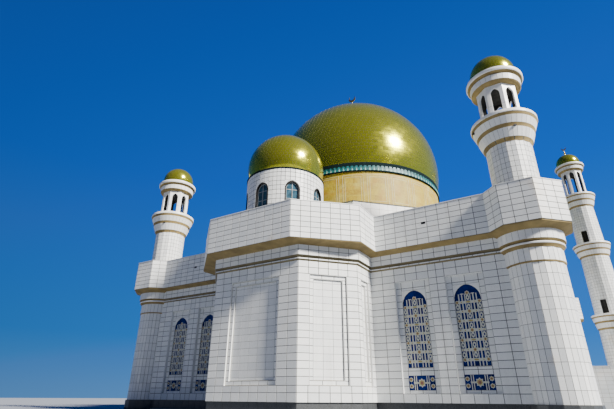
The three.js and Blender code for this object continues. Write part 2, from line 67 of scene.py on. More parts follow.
# Plan, from the towers: their axes lie TOWER_INSET inside the parapet planes
TOWER_INSET = 1.71
TOWER_NAMES = ("rear_left", "rear_right", "front_left", "front_right")
TOWERS = {name: middle_of(f"tower_{name}") for name in TOWER_NAMES}
TOWER_X = TOWERS["rear_right"][0]
SIDE_PLANE = TOWER_X + TOWER_INSET
REAR_PLANE = TOWERS["rear_right"][1] - TOWER_INSET
FRONT_PLANE = TOWERS["front_right"][1] + TOWER_INSET
SIDE_MIDDLE = (REAR_PLANE + FRONT_PLANE) / 2
SIDE_REACH = (FRONT_PLANE - REAR_PLANE) / 2 - TOWER_INSET
WALL_INSET = 0.8

# Bay outlines in a frame with x along the facade, y inward and the origin on the parapet plane
BAY_WALL = {"half": 3.88, "front": -4.98, "side": 6.92, "shoulder": -1.65}
BAY_PARAPET = {"half": 3.96, "front": -6.28, "side": 7.81, "shoulder": -2.72}

# Levels
GROUND_FLOOR = real_box("floor_slab")[1].z
CLADDING_FOOT = 1.0
FILLET_LOW, FILLET_HIGH = 10.37, 10.49
FRIEZE_LOW = 10.66
PARAPET_FOOT, PARAPET_TOP = real_box("rear_parapet")[0].z, real_box("rear_parapet")[1].z
ROOF_TOP = real_box("rear_roof")[1].z
FILLET_OUT, FRIEZE_OUT, PLINTH_IN = 0.12, 0.2, 0.1
PARAPET_THICK = 0.25
COPING = 0.05

# Slabs stand PROUD of the solids, with a JOINT between them
PROUD = 0.012
JOINT = 0.036
BEVEL = 0.006
SEAT = 0.004
LINING = 0.015
GROOVE_WIDTH = 0.03
FINE_JOINT = 0.014
SHAFT_JOINT = 0.02
SLAB_WIDTH = 0.8
LEAST_COURSE = 0.16

# Windows and blind panels
RECESS = {"half": 1.3, "foot": 1.57, "top": 9.27, "depth": 0.25}
WINDOW = {"half": 0.9, "foot": 3.2, "spring": 7.55, "apex": 8.6}
SILL_PANEL = {"half": 0.92, "foot": 1.8, "top": 2.7}
WINDOW_PITCH = 3.75
FIRST_WINDOW = 10.15
SIDE_WINDOWS = 10
BLIND = {"foot": 2.0, "top": 9.35, "step": 0.3, "depth": 0.12}
BLIND_HALVES = {"front": 2.25, "corner": 1.4, "cheek": 0.65}
DOORWAY = {"half": 1.7, "foot": GROUND_FLOOR, "spring": 3.9, "apex": 5.7}
DOORS = {"margin": 0.2, "rail": (1.0, 1.3), "steps": (0.1, 0.18), "handle": (0.13, 1.12), "bar": 0.06}

# Courses: one row to the recess foot, sixteen beside the recess, two above it
BESIDE_ROWS = 16
RECESS_HEIGHT = RECESS["top"] - RECESS["foot"]
COURSES = [CLADDING_FOOT]
COURSES += [RECESS["foot"] + RECESS_HEIGHT * i / BESIDE_ROWS for i in range(BESIDE_ROWS + 1)]
COURSES += [(RECESS["top"] + FILLET_LOW) / 2, FILLET_LOW]
PARAPET_COURSES = [PARAPET_FOOT + (PARAPET_TOP - PARAPET_FOOT) * i / 7 for i in range(8)]

# Towers and minarets
TOWER_SIDES = 16
TOWER = {
    "base": 1.95, "low": 1.81, "high": 1.87, "core": 1.6, "cove": 1.93, "fillet": 2.03, "frieze": 2.14,
    "band": 9.29, "neck": 10.23,
}
CROWN_APOTHEM = 2.73
MINARET = {"low": 1.57, "high": 1.6, "deck": 20.63, "drop": 2.29, "rim": 2.38}
HEAD = {"corner": 1.55, "inner": 1.2, "dome": 1.75, "rise": 0.43}
LANTERN_SMALL = {"height": 3.02, "half": 0.34, "foot": 0.03, "spring": 2.2, "apex": 2.7}
LANTERN_TALL = {"height": 4.52, "half": 0.34, "foot": 0.03, "spring": 3.72, "apex": 4.2}
POST_FACE = 0.12
POST_JOINT = {"share": 0.52, "gap": 0.012, "half": 0.02}

# The cornice over a lantern, as (radius, level above its foot)
CORNICE_HEIGHT = 1.35
CORNICE_CORE = [
    (0, 0), (1.5, 0), (1.84, 0.16), (1.89, 0.64), (1.82, 0.7), (2.05, 0.86), (2.1, 1.12), (1.6, 1.33),
    (0, 1.33),
]
CORNICE_COVES = (
    [(1.2, -0.03), (1.2, 0.2), (1.865, 0.17), (1.8, 0.08), (1.68, 0.01), (1.57, -0.03)],
    [(1.6, 0.62), (1.6, 0.88), (2.08, 0.87), (2.0, 0.8), (1.9, 0.74), (1.86, 0.64)],
)
CORNICE_RIM = [
    (1.5, 0.86), (1.5, 1.37), (1.72, 1.37), (2.08, 1.2), (2.14, 1.15), (2.15, 1.1), (2.15, 0.92),
    (2.11, 0.86),
]
CORNICE_SLABS = {"radii": (1.86, 1.905), "low": 0.16, "high": 0.64, "count": 28}

TALL_STAGES = [
    {"foot": 5.2, "low": 2.06, "high": 1.98, "deck": 12.5, "drop": 2.1, "rim": 2.52},
    {"foot": 12.5, "low": 1.95, "high": 1.85, "deck": 23.13, "drop": 2.03, "rim": 2.5},
    {"foot": 23.13, "low": 1.85, "high": 1.7, "deck": 31.43, "drop": 2.15, "rim": 2.42},
]
TALL_DOOR = {"half": 0.375, "foot": 0.1, "height": 1.95, "depth": 0.42, "angle": radians(-108)}
SHAFT_COURSE = 0.42
TOWER_COURSE = 0.755
ROUND_SIDES = 64
BAND_SLABS = 36
# A balcony's coves: the shares of the way down of foot and top, then the curve as (out, down, extra out)
BALCONY_COVES = (
    (1.01, 0.88, ((0.18, 0.88, 0.02), (0.12, 0.93), (0.03, 0.98), (0, 1.01, 0.013))),
    (0.59, 0.45, ((0.58, 0.455, 0.02), (0.5, 0.52), (0.45, 0.575), (0.44, 0.59))),
    (0.22, 0.12, ((1, 0.12, -0.01), (0.92, 0.16), (0.87, 0.21), (0.85, 0.22))),
)
BALCONY_BANDS = (((0.18, 0.89), (0.49, 0.58)), ((0.58, 0.46), (0.86, 0.21)))
BALCONY_SPOUTS = ((-155, 0.87, 0.24), (-65, 0.47, 0.57), (30, 0.47, 0.57), (120, 0.87, 0.24))
BALCONY_SPOUT = {"radius": 0.06, "reach": 0.12}
PARAPET_DRAIN = {"x": 11.75, "level": 13.27, "half": 0.165, "rise": 0.09, "reach": 0.017}

# The coves under the parapets and the crowns, as (share of the way out from the frieze, level)
COVE_FOOT = 11.42
COVE = [
    (-0.3, COVE_FOOT), (-0.3, 11.67), (0.99, 11.655), (0.97, 11.61), (0.6, 11.57), (0.25, 11.51),
    (0.03, COVE_FOOT),
]
CROWN_COVE_FOOT = 11.3
CROWN_COVE = [
    (-0.3, CROWN_COVE_FOOT), (-0.3, 11.67), (1.0, 11.655), (0.97, 11.58), (0.6, 11.5), (0.25, 11.42),
    (0.0, CROWN_COVE_FOOT),
]
CROWN_FRIEZE_TOP = 11.36

# Domes
DOME = {"radius": 10.0, "centre": 25.98, "thick": 0.3, "sides": 144, "plate": (0.56, 0.38)}
DRUM = {"radius": 9.6, "inner": 9.0, "band": 9.72, "fields": 24}
BAY_DOME = {"radius": 3.47, "centre": 20.24, "thick": 0.25, "sides": 72, "plate": (0.34, 0.25)}
HEAD_DOME = {"thick": 1.0, "sides": 48, "plate": (0.3, 0.2)}
SEAM_SHARE, RISE_SHARE = 0.045, 0.02
BAY_DRUM = {"radius": 3.4, "sides": 24, "foot": 12.3, "top": real_box("bay_drum")[1].z, "course": 0.41}
EAVES = [(3.2, -0.12), (3.2, 0.03), (3.5, 0.03), (3.5, -0.05), (3.44, -0.12)]
BAY_KERB = {"inner": 3.3, "apothem": 3.46}
DRUM_WINDOW = {"half": 0.55, "foot": 15.3, "spring": 17.0, "apex": 17.6}
# The outline of the near-black ring around each drum window: partly a dark frame, partly painted shade of the
# reveal
DRUM_FRAME_AND_SHADE = {"half": 0.64, "foot": 15.2, "spring": 17.0, "apex": 17.7}
DRUM_BARS = ((16.08, 16.12), (16.9, 16.94))
PLATE_TILT = 0.006
BASE_SLABS = {"columns": 10, "course": 0.62}
FRAME_INSETS, FRAME_WIDTH = (0.18, 0.42), 0.05
FRAME_FOOT, FRAME_HEAD = 0.35, 0.2

# The tiled band's teeth, as (along, up) from their place on the band's foot or top
TEETH = 136
HANGING_TOOTH = ((-0.1, -0.34), (0.0, -0.68), (0.1, -0.34))
STANDING_TOOTH = ((-0.08, 0.1), (0.08, 0.1), (0.0, 0.42))
BLADE = ((0.0, 0.12), (0.05, 0.12), (0.15, 0.6))

# Finials, as (radius, level above the foot), and their horns
DOME_FINIAL = [
    (0.34, 0), (0.34, 0.12), (0.2, 0.2), (0.12, 0.3), (0.12, 0.7), (0.25, 0.8), (0.36, 1.05), (0.25, 1.3),
    (0.12, 1.4), (0.1, 1.7), (0.2, 1.8), (0.26, 1.98), (0.2, 2.16), (0.08, 2.26), (0.06, 2.9),
]
TALL_FINIAL = [
    (0.14, 0), (0.1, 0.08), (0.06, 0.14), (0.06, 0.3), (0.13, 0.38), (0.17, 0.5), (0.13, 0.62), (0.05, 0.7),
    (0.04, 1.08),
]
DOME_HORNS = {"level": 3.32, "radius": 0.5}
TALL_HORNS = {"level": 1.4, "radius": 0.36}

# Light: a wide sun for the key, and a sky by height whose strength swings from the rear to the front
KEY_FROM = (0.817, -0.108, 0.566)
KEY_ENERGY = 14.0
KEY_SPREAD = 9.0
KEY_COLOUR = (1.0, 0.95, 0.86)
SKY = [
    (0.0, (0.14, 0.42, 0.95)), (0.12, (0.045, 0.29, 0.95)),
    (0.45, (0.006, 0.175, 0.95)), (1.0, (0.004, 0.10, 0.6)),
]
SKY_STRENGTH = {"middle": 0.40, "swing": 0.33}
FLOOR_HALF, FLOOR_DROP = 150, 0.002

# Camera: yaw, pitch and roll in degrees, and the lens and sensor in millimetres
CAMERA = {"turns": (31.717, 24.562, 0.413), "place": (9.8975, -21.9025, 0.6385), "lens": 24.805, "sensor": 36}
CAMERA_REACH = 400


# Node materials

class Paint:
    """A procedural material. Each method adds nodes and gives back their output."""

    def __init__(self, name):
        self.material = bpy.data.materials.new(name)
        self.material.use_nodes = True
        self.tree = self.material.node_tree
        self.shader = self.tree.nodes["Principled BSDF"]
        self.here = self.node("ShaderNodeTexCoord").outputs["Object"]

    def node(self, kind, inputs=None, **settings):
        made = self.tree.nodes.new(kind)
        for key, value in settings.items():
            setattr(made, key, value)
        for key, value in (inputs or {}).items():
            self.feed(made.inputs[key], value)
        return made

    def feed(self, socket, value):
        if isinstance(value, bpy.types.NodeSocket):
            self.tree.links.new(value, socket)
        else:
            socket.default_value = value

    def math(self, operation, a, b=0.0):
        return self.node("ShaderNodeMath", {0: a, 1: b}, operation=operation).outputs[0]

    def stretched(self, x, y, z):
        return self.node("ShaderNodeMapping", {"Vector": self.here, "Scale": (x, y, z)}).outputs[0]

    def noise(self, scale, detail=3.0, place=None, distortion=0.0):
        inputs = {"Vector": place or self.here, "Scale": scale, "Detail": detail, "Distortion": distortion}
        return self.node("ShaderNodeTexNoise", inputs).outputs["Fac"]

    def span(self, value, low, high, to_low=0.0, to_high=1.0):
        """Maps low..high to to_low..to_high and holds the ends."""
        inputs = {"Value": value, "From Min": low, "From Max": high, "To Min": to_low, "To Max": to_high}
        return self.node("ShaderNodeMapRange", inputs).outputs[0]

    def mix(self, factor, a, b):
        made = self.node("ShaderNodeMix", data_type="RGBA")
        for index, value in ((0, factor), (6, a), (7, b)):
            if isinstance(value, tuple):
                value = (*value, 1.0)
            self.feed(made.inputs[index], value)
        return made.outputs[2]

    def bricks(self, place, first, second, mortar, width, height, joint):
        colours = {"Color1": (*first, 1), "Color2": (*second, 1), "Mortar": (*mortar, 1)}
        sizes = {"Scale": 1.0, "Brick Width": width, "Row Height": height, "Mortar Size": joint}
        return self.node("ShaderNodeTexBrick", {"Vector": place, **sizes, **colours})

    def tone(self):
        return self.node("ShaderNodeAttribute", attribute_name="tone").outputs["Fac"]

    def finish(self, colour, roughness, height=None, distance=0.001, strength=0.3, **uniform):
        if isinstance(colour, tuple):
            colour = (*colour, 1.0)
        self.feed(self.shader.inputs["Base Color"], colour)
        self.feed(self.shader.inputs["Roughness"], roughness)
        for key, value in uniform.items():
            self.shader.inputs[key].default_value = value
        if height is not None:
            inputs = {"Height": height, "Distance": distance, "Strength": strength}
            bump = self.node("ShaderNodeBump", inputs)
            self.feed(self.shader.inputs["Normal"], bump.outputs[0])
        return self.material


def marble_paint(name, light, dark, stain):
    """Honed slabs: a tone for each, clouds, faint veins, rain streaks and a few warm stains."""
    paint = Paint(name)
    cloud = paint.noise(2.2, 4.0)
    colour = paint.mix(paint.tone(), light, dark)
    colour = paint.mix(paint.span(cloud, 0.35, 0.75, 0.0, 0.35), colour, dark)
    vein = paint.noise(7.0, 6.0, distortion=1.6)
    vein = paint.span(paint.math("ABSOLUTE", paint.math("SUBTRACT", vein, 0.5)), 0.0, 0.03, 0.22, 0.0)
    colour = paint.mix(vein, colour, (0.36, 0.38, 0.40))
    streak = paint.noise(1.0, 4.0, paint.stretched(5.0, 5.0, 0.3))
    colour = paint.mix(paint.span(streak, 0.55, 0.8, 0.0, 0.3), colour, (0.42, 0.41, 0.37))
    patch = paint.noise(0.75, 2.0)
    colour = paint.mix(paint.span(patch, 0.66, 0.8, 0.0, stain), colour, (0.62, 0.44, 0.22))
    grain = paint.noise(60.0, 2.0)
    return paint.finish(colour, paint.span(cloud, 0.3, 0.7, 0.32, 0.5), grain, 0.001, 0.15)


def plain_paint(name, light, dark, roughness, scale=6.0, grain=80.0, **uniform):
    """Two tones in soft clouds with a fine grain, for render, grout, stone and paint."""
    paint = Paint(name)
    cloud = paint.span(paint.noise(scale, 5.0), 0.3, 0.7)
    rough = paint.span(cloud, 0.0, 1.0, roughness - 0.06, roughness + 0.06)
    colour = paint.mix(cloud, light, dark)
    return paint.finish(colour, rough, paint.noise(grain, 3.0), 0.002, 0.3, **uniform)


def gilt_paint(name, light, dark, roughness):
    """Gilded sheet: a tone for each plate, dull clouds and fine dents."""
    paint = Paint(name)
    cloud = paint.noise(1.6, 5.0)
    colour = paint.mix(paint.tone(), light, dark)
    colour = paint.mix(paint.span(cloud, 0.4, 0.75, 0.0, 0.5), colour, dark)
    dull = paint.span(paint.math("ADD", cloud, paint.math("MULTIPLY", paint.tone(), 0.35)), 0.4, 1.0)
    rough = paint.span(dull, 0.0, 1.0, roughness - 0.04, roughness + 0.07)
    return paint.finish(colour, rough, paint.noise(7.0, 2.0), 0.002, 0.07, **{"Metallic": 0.88})


def around(paint, radius):
    """Arc length about the main dome's axis, and the level, as one vector."""
    split = paint.node("ShaderNodeSeparateXYZ", {"Vector": paint.here})
    angle = paint.math("ARCTAN2", split.outputs["Y"], split.outputs["X"])
    inputs = {"X": paint.math("MULTIPLY", angle, radius), "Y": split.outputs["Z"]}
    return paint.node("ShaderNodeCombineXYZ", inputs).outputs[0]


def mosaic_paint(name, radius):
    """Small tesserae in panels of yellow, ochre and pale stone."""
    paint = Paint(name)
    place = around(paint, radius)
    colours = (0.42, 0.31, 0.012), (0.30, 0.19, 0.008), (0.44, 0.36, 0.06)
    panels = paint.bricks(place, *colours, width=0.42, height=0.33, joint=0.008)
    colours = (0.50, 0.39, 0.03), (0.20, 0.12, 0.008), (0.36, 0.28, 0.04)
    stones = paint.bricks(place, *colours, width=0.07, height=0.05, joint=0.003)
    colour = paint.mix(0.35, panels.outputs["Color"], stones.outputs["Color"])
    cloud = paint.noise(1.3, 4.0)
    colour = paint.mix(paint.span(cloud, 0.5, 0.72, 0.0, 0.6), colour, (0.52, 0.47, 0.15))
    warm = paint.noise(2.1, 4.0)
    colour = paint.mix(paint.span(warm, 0.52, 0.75, 0.0, 0.7), colour, (0.38, 0.18, 0.015))
    height = paint.math("SUBTRACT", 1.0, stones.outputs["Fac"])
    return paint.finish(colour, paint.span(cloud, 0.3, 0.7, 0.55, 0.7), height, 0.002, 0.3)


def glass_paint(name, light, dark):
    """Coloured glass: clouds of tone, slight ripples and a hard gloss."""
    paint = Paint(name)
    cloud = paint.span(paint.noise(5.0, 3.0), 0.3, 0.7)
    colour = paint.mix(cloud, light, dark)
    return paint.finish(colour, paint.span(cloud, 0.0, 1.0, 0.06, 0.14), paint.noise(9.0, 2.0), 0.002, 0.15)


def wood_paint(name):
    paint = Paint(name)
    ring = paint.noise(1.0, 6.0, paint.stretched(40.0, 40.0, 1.6), 1.2)
    colour = paint.mix(paint.span(ring, 0.35, 0.65), (0.10, 0.045, 0.02), (0.22, 0.11, 0.045))
    rough = paint.span(ring, 0.3, 0.7, 0.3, 0.45)
    return paint.finish(colour, rough, ring, 0.001, 0.3, **{"Coat Weight": 0.3})


MARBLE = marble_paint("marble", (0.80, 0.81, 0.80), (0.66, 0.68, 0.69), 0.35)
MARBLE_PLAIN = marble_paint("marble_plain", (0.82, 0.82, 0.80), (0.72, 0.73, 0.73), 0.25)
GROUT = plain_paint("grout", (0.11, 0.115, 0.105), (0.06, 0.065, 0.06), 0.9)
# Ochre render for the coves and soffits, darkened as painted shade of the undersides
OCHRE_AND_SHADE = plain_paint("ochre_render_and_shade", (0.30, 0.22, 0.08), (0.16, 0.115, 0.045), 0.85, 2.0)
# Dark brown painted shade for the hollows under the fillets and friezes and the inner corners of the blind
# panels
GROOVE_SHADE = plain_paint("groove_painted_shade", (0.20, 0.165, 0.085), (0.13, 0.105, 0.055), 0.85, 2.0)
RENDER = plain_paint("grey_render", (0.52, 0.51, 0.48), (0.36, 0.35, 0.33), 0.9, 2.0)
ROOFING = plain_paint("roofing", (0.40, 0.39, 0.37), (0.27, 0.265, 0.26), 0.9, 1.2)
GRANITE = plain_paint("dark_granite", (0.075, 0.08, 0.085), (0.03, 0.032, 0.035), 0.35, 30.0)
GILT = gilt_paint("gilt", (0.66, 0.645, 0.045), (0.55, 0.54, 0.04), 0.15)
GILT_PLAIN = gilt_paint("gilt_plain", (0.52, 0.44, 0.12), (0.36, 0.29, 0.08), 0.25)
GILT_SEAM = plain_paint("gilt_seam", (0.12, 0.11, 0.025), (0.08, 0.07, 0.02), 0.7, **{"Metallic": 0.2})
MOSAIC = mosaic_paint("mosaic", DRUM["radius"] * SCALE)
PALE_MOSAIC = plain_paint("pale_mosaic", (0.54, 0.48, 0.26), (0.42, 0.35, 0.16), 0.6, 12.0, 60.0)
TURQUOISE = plain_paint("turquoise_tile", (0.006, 0.14, 0.15), (0.004, 0.06, 0.08), 0.5, 12.0, 20.0)
AQUA_TILE = plain_paint("aqua_tile", (0.02, 0.25, 0.25), (0.015, 0.16, 0.17), 0.5, 12.0, 20.0)
DARK_TILE = plain_paint(
    "dark_tile", (0.006, 0.016, 0.018), (0.003, 0.008, 0.01), 0.85, 12.0, 20.0,
    **{"Specular IOR Level": 0.05},
)
WHITE_TILE = plain_paint("white_tile", (0.36, 0.56, 0.52), (0.22, 0.38, 0.38), 0.55, 12.0, 20.0)
BLUE_GLASS = glass_paint("blue_glass", (0.004, 0.020, 0.19), (0.002, 0.008, 0.075))
TEAL_GLASS = glass_paint("teal_glass", (0.05, 0.12, 0.17), (0.015, 0.035, 0.05))
LATTICE = plain_paint("pale_lattice", (0.58, 0.58, 0.50), (0.44, 0.46, 0.42), 0.5, 20.0)
OLIVE = plain_paint("olive_enamel", (0.44, 0.38, 0.12), (0.30, 0.24, 0.09), 0.4, 20.0)
ROSE = plain_paint("rose_enamel", (0.36, 0.13, 0.10), (0.12, 0.05, 0.05), 0.35, 20.0)
# Near black: painted shade inside the lanterns and in the rings around the drum windows, and the paint of the
# tall minaret's door leaves
DARK_AND_SHADE = plain_paint("dark_paint_and_shade", (0.03, 0.028, 0.025), (0.012, 0.012, 0.012), 0.9)
# Black metal for the balcony spouts and door panels, and black as painted shade at the window edges, the drum
# windows' reveals and the drain openings
BLACK_METAL_AND_SHADE = plain_paint("black_metal_and_shade", (0.02, 0.02, 0.022), (0.01, 0.01, 0.011), 0.5, **{"Metallic": 0.7})
FRAME_PAINT = plain_paint("frame_paint", (0.33, 0.35, 0.36), (0.24, 0.26, 0.27), 0.45)
DOOR_WOOD = wood_paint("door_wood")
FLOOR = plain_paint("floor", (0.24, 0.26, 0.29), (0.22, 0.24, 0.27), 0.9, 0.3)


# Meshes

class Shape:
    """Closed bodies in real metres that become one object at the model's scale."""

    def __init__(self, name, slot, paint):
        self.name, self.slot, self.paints = name, slot, [paint]
        self.points, self.faces, self.faced, self.tones = [], [], [], []
        self.random = random.Random(name)

    def add(self, points, faces, paint=None, tone=None):
        """Takes in one body, in the shape's first paint unless another is named."""
        paint = paint or self.paints[0]
        if paint not in self.paints:
            self.paints.append(paint)
        start = len(self.points)
        tone = self.random.random() if tone is None else tone
        self.points.extend(points)
        self.faces.extend(tuple(start + i for i in face) for face in faces)
        self.faced.extend([self.paints.index(paint)] * len(faces))
        self.tones.extend([tone] * len(faces))

    def done(self, replaces=(), sharp=35.0):
        mesh = bpy.data.meshes.new(self.name)
        mesh.from_pydata([(x * SCALE, y * SCALE, z * SCALE) for x, y, z in self.points], [], self.faces)
        for paint in self.paints:
            mesh.materials.append(paint)
        mesh.polygons.foreach_set("material_index", self.faced)
        tone = mesh.attributes.new("tone", "FLOAT", "FACE")
        tone.data.foreach_set("value", self.tones)
        mesh.polygons.foreach_set("use_smooth", [True] * len(self.faces))
        mesh.set_sharp_from_angle(angle=radians(sharp))
        piece = bpy.data.objects.new(self.name, mesh)
        bpy.context.scene.collection.objects.link(piece)
        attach(piece, "root")
        if replaces:
            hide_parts(*replaces)
        return piece


def skin(sections, closed=False):
    """Joins loops of points that follow each other to the right. Each loop runs up its inner side
    and down its outer side. An open row of loops gets two end caps."""
    size = len(sections[0])
    points = [point for section in sections for point in section]
    faces = []
    last = len(sections) if closed else len(sections) - 1
    for i in range(last):
        here, there = i * size, (i + 1) % len(sections) * size
        for k in range(size):
            after = (k + 1) % size
            faces.append((here + after, there + after, there + k, here + k))
    if not closed:
        faces.append(tuple(range(size))[::-1])
        faces.append(tuple(range(len(points) - size, len(points))))
    return points, faces


def block(surface, us, low, high, near, far, bevel=0.0):
    """A body on a surface between two levels and two heights above it, along the given us."""
    sections = []
    for i, u in enumerate(us):
        shift = bevel if i == 0 else -bevel if i == len(us) - 1 else 0.0
        sections.append([
            surface(u, low, near), surface(u, high, near),
            surface(u + shift, high - bevel, far), surface(u + shift, low + bevel, far),
        ])
    return skin(sections)


def prism(surface, outline, near, far):
    """A body on a surface whose outline of (u, z) runs anticlockwise as seen from outside."""
    size = len(outline)
    points = [surface(u, z, d) for d in (near, far) for u, z in outline]
    faces = [tuple(range(size))[::-1], tuple(range(size, 2 * size))]
    faces += [(i, (i + 1) % size, size + (i + 1) % size, size + i) for i in range(size)]
    return points, faces


def hoop(surface, outer, inner, near, far):
    """A closed band on a surface between two outlines with equally many points."""
    sections = [
        [surface(*a, near), surface(*b, near), surface(*b, far), surface(*a, far)]
        for a, b in zip(outer, inner)
    ]
    return skin(sections, closed=True)


def lathe(centre, profile, sides, phase=0.0):
    """Turns a profile of (radius, level) that starts and ends on the axis, or anywhere if it closes."""
    points, rows, faces = [], [], []
    for radius, level in profile:
        count = 1 if radius == 0 else sides
        rows.append([len(points) + i % count for i in range(sides)])
        for i in range(count):
            angle = phase + 2 * pi * i / sides
            points.append((centre[0] + radius * cos(angle), centre[1] + radius * sin(angle), level))
    for lower, upper in zip(rows, rows[1:]):
        for i in range(sides):
            j = (i + 1) % sides
            corners = dict.fromkeys((lower[i], lower[j], upper[j], upper[i]))
            if len(corners) > 2:
                faces.append(tuple(corners))
    return points, faces


def ring(centre, loop, sides, phase=0.0):
    """Turns a closed loop of (radius, level) that runs up its inner side and down its outer side."""
    sections = []
    for i in range(sides):
        angle = phase + 2 * pi * i / sides
        across, along = cos(angle), sin(angle)
        sections.append([(centre[0] + r * across, centre[1] + r * along, z) for r, z in loop])
    return skin(sections, closed=True)


# Surfaces turn (u, level, height above the surface) into a point. u runs to the right as seen from outside.

def wall_surface(a, b):
    length = dist(a, b)
    along = ((b[0] - a[0]) / length, (b[1] - a[1]) / length)
    middle = ((a[0] + b[0]) / 2, (a[1] + b[1]) / 2)

    def surface(u, z, d):
        return middle[0] + along[0] * u + along[1] * d, middle[1] + along[1] * u - along[0] * d, z
    return surface


def facet_surface(centre, angle, apothem_at):
    """One flat side of a shaft. Widths keep their share of the side where the shaft tapers."""
    out = (cos(angle), sin(angle))
    middle = apothem_at(None)

    def surface(u, z, d):
        away = apothem_at(z) + d
        aside = u * away / middle
        return centre[0] + out[0] * away - out[1] * aside, centre[1] + out[1] * away + out[0] * aside, z
    return surface


def drum_surface(centre, radius_at, reference):
    """A round surface. u is the arc length at the reference radius, from the +X side."""
    def surface(u, z, d):
        away = radius_at(z) + d
        angle = u / reference
        return centre[0] + away * cos(angle), centre[1] + away * sin(angle), z
    return surface


def taper(low, high, foot, top):
    """A radius that goes from one value to another between two levels."""
    def radius_at(z):
        share = 0.5 if z is None else (z - foot) / (top - foot)
        return low + (high - low) * share
    return radius_at


# Outlines

ARCH_STEPS = 7


def rectangle(left, right, low, high):
    return [(left, low), (right, low), (right, high), (left, high)]


def shrunk(field, by):
    left, right, low, high = field
    return rectangle(left + by, right - by, low + by, high - by)


def strip(middle, half, low, high):
    return rectangle(middle - half, middle + half, low, high)


def upright_loop(inner, outer, low, high):
    """A rectangle for skin and ring, up its inner side and down its outer side."""
    return [(inner, low), (inner, high), (outer, high), (outer, low)]


def disc(radius, low, high):
    """The profile of a flat disc for lathe."""
    return [(0, low), (radius, low), (radius, high), (0, high)]


OCTAGON = (8, pi / 8)


def octagon(centre, corner):
    """A closed line around a regular octagon with flat sides towards the axes."""
    turns = [OCTAGON[1] + i * pi / 4 for i in range(9)]
    return [(centre[0] + corner * cos(a), centre[1] + corner * sin(a)) for a in turns]


def arch_side(half, spring, apex, steps, inset=0.0):
    """The right half of a pointed arch, from its spring to its apex."""
    rise = apex - spring
    radius = (half * half + rise * rise) / (2 * half)
    sweep = asin(rise / radius)
    centre = half - radius
    points = []
    for i in range(steps + 1):
        angle = sweep * i / steps
        points.append((centre + (radius - inset) * cos(angle), spring + (radius - inset) * sin(angle)))
    points[-1] = (0.0, spring + sqrt(max((radius - inset) ** 2 - centre * centre, 0.0)))
    return points


def arch(opening, middle=0.0, inset=0.0):
    """The whole outline of an arched opening, moved inwards by an inset."""
    right = arch_side(opening["half"], opening["spring"], opening["apex"], ARCH_STEPS, inset)
    left = [(-u, z) for u, z in right[-2::-1]]
    half, foot = opening["half"] - inset, opening["foot"] + inset
    return [(u + middle, z) for u, z in [(-half, foot), (half, foot), *right, *left]]


def spandrels(opening, middle=0.0, top=None, steps=ARCH_STEPS):
    """The two corners between an arch and the rectangle around it."""
    top = top or opening["apex"]
    clockwise = arch_side(opening["half"], opening["spring"], opening["apex"], steps)
    if top > opening["apex"]:
        clockwise.append((0.0, top))
    clockwise.append((opening["half"], top))
    return [[(middle + u, z) for u, z in clockwise[::-1]], [(middle - u, z) for u, z in clockwise]]


def oval(middle, level, across, up, steps=10):
    turns = [2 * pi * i / steps for i in range(steps)]
    return [(middle + across * cos(a), level + up * sin(a)) for a in turns]


def circle(middle, level, radius, steps):
    return oval(middle, level, radius, radius, steps)


def star(middle, level, radius, points, dip=0.62):
    outline = []
    for i in range(2 * points):
        reach = radius if i % 2 == 0 else radius * dip
        angle = pi * (i / points + 0.5)
        outline.append((middle + reach * cos(angle), level + reach * sin(angle)))
    return outline


# Slab fields

def within(levels, low, high):
    """The levels between two ends, leaving out any that would make a sliver."""
    return [low, *(z for z in levels if low + LEAST_COURSE < z < high - LEAST_COURSE), high]


def even(low, high, step):
    count = max(1, round((high - low) / step))
    return [low + (high - low) * i / count for i in range(count + 1)]


def slabs(shape, surface, field, height=0.0, columns=None, rows=None, joint=JOINT, bend=1):
    """Slabs in straight courses over a field of (left, right, low, high)."""
    left, right, low, high = field
    columns = columns or max(1, round((right - left) / SLAB_WIDTH))
    rows = rows or within(COURSES, low, high)
    width = (right - left) / columns
    for column in range(columns):
        start = left + column * width + joint / 2
        us = [start + (width - joint) * k / bend for k in range(bend + 1)]
        for floor, ceiling in zip(rows, rows[1:]):
            ends = floor + joint / 2, ceiling - joint / 2
            shape.add(*block(surface, us, *ends, height - SEAT, height + PROUD, BEVEL))


def beside(field, hole):
    """The fields left over around a hole: below it, above it, and to its left and right."""
    left, right, low, high = field
    hole_left, hole_right, hole_low, hole_high = hole
    around_it = [
        (left, right, low, hole_low), (left, right, hole_high, high),
        (left, hole_left, hole_low, hole_high), (hole_right, right, hole_low, hole_high),
    ]
    return [(a, b, c, d) for a, b, c, d in around_it if b - a > JOINT and d - c > JOINT]


def lining(shape, surface, field, near, far):
    """Thin marble on the four reveals of a rectangular recess."""
    left, right, low, high = field
    for edge in (
        rectangle(left, left + LINING, low, high), rectangle(right - LINING, right, low, high),
        rectangle(left + LINING, right - LINING, low, low + LINING),
        rectangle(left + LINING, right - LINING, high - LINING, high),
    ):
        shape.add(*prism(surface, edge, near, far))


# Windows of stained glass behind a pale lattice

ROW_COUNT = 8
ROW_PITCH = 0.623
FIRST_ROW = 3.31
BAR_HEIGHT = 0.45
BAR_LAP = 0.03
EYE_PLACES = (-0.735, 0.0, 0.735)
EYE = {"across": 0.115, "up": 0.19, "hole": 0.42}
UPRIGHTS = ((0.175, 0.03), (0.375, 0.042), (0.585, 0.036))
TOP_BAND_REACH = 0.84
KNOT_PITCH, KNOT_RADIUS = 0.15, 0.05
PANE_DEPTH, PANE_THICK = 0.06, 0.04
ROSETTE = {"band": 0.18, "side": 0.15, "crown": 0.17, "sill": 0.29, "sill_side": 0.16}


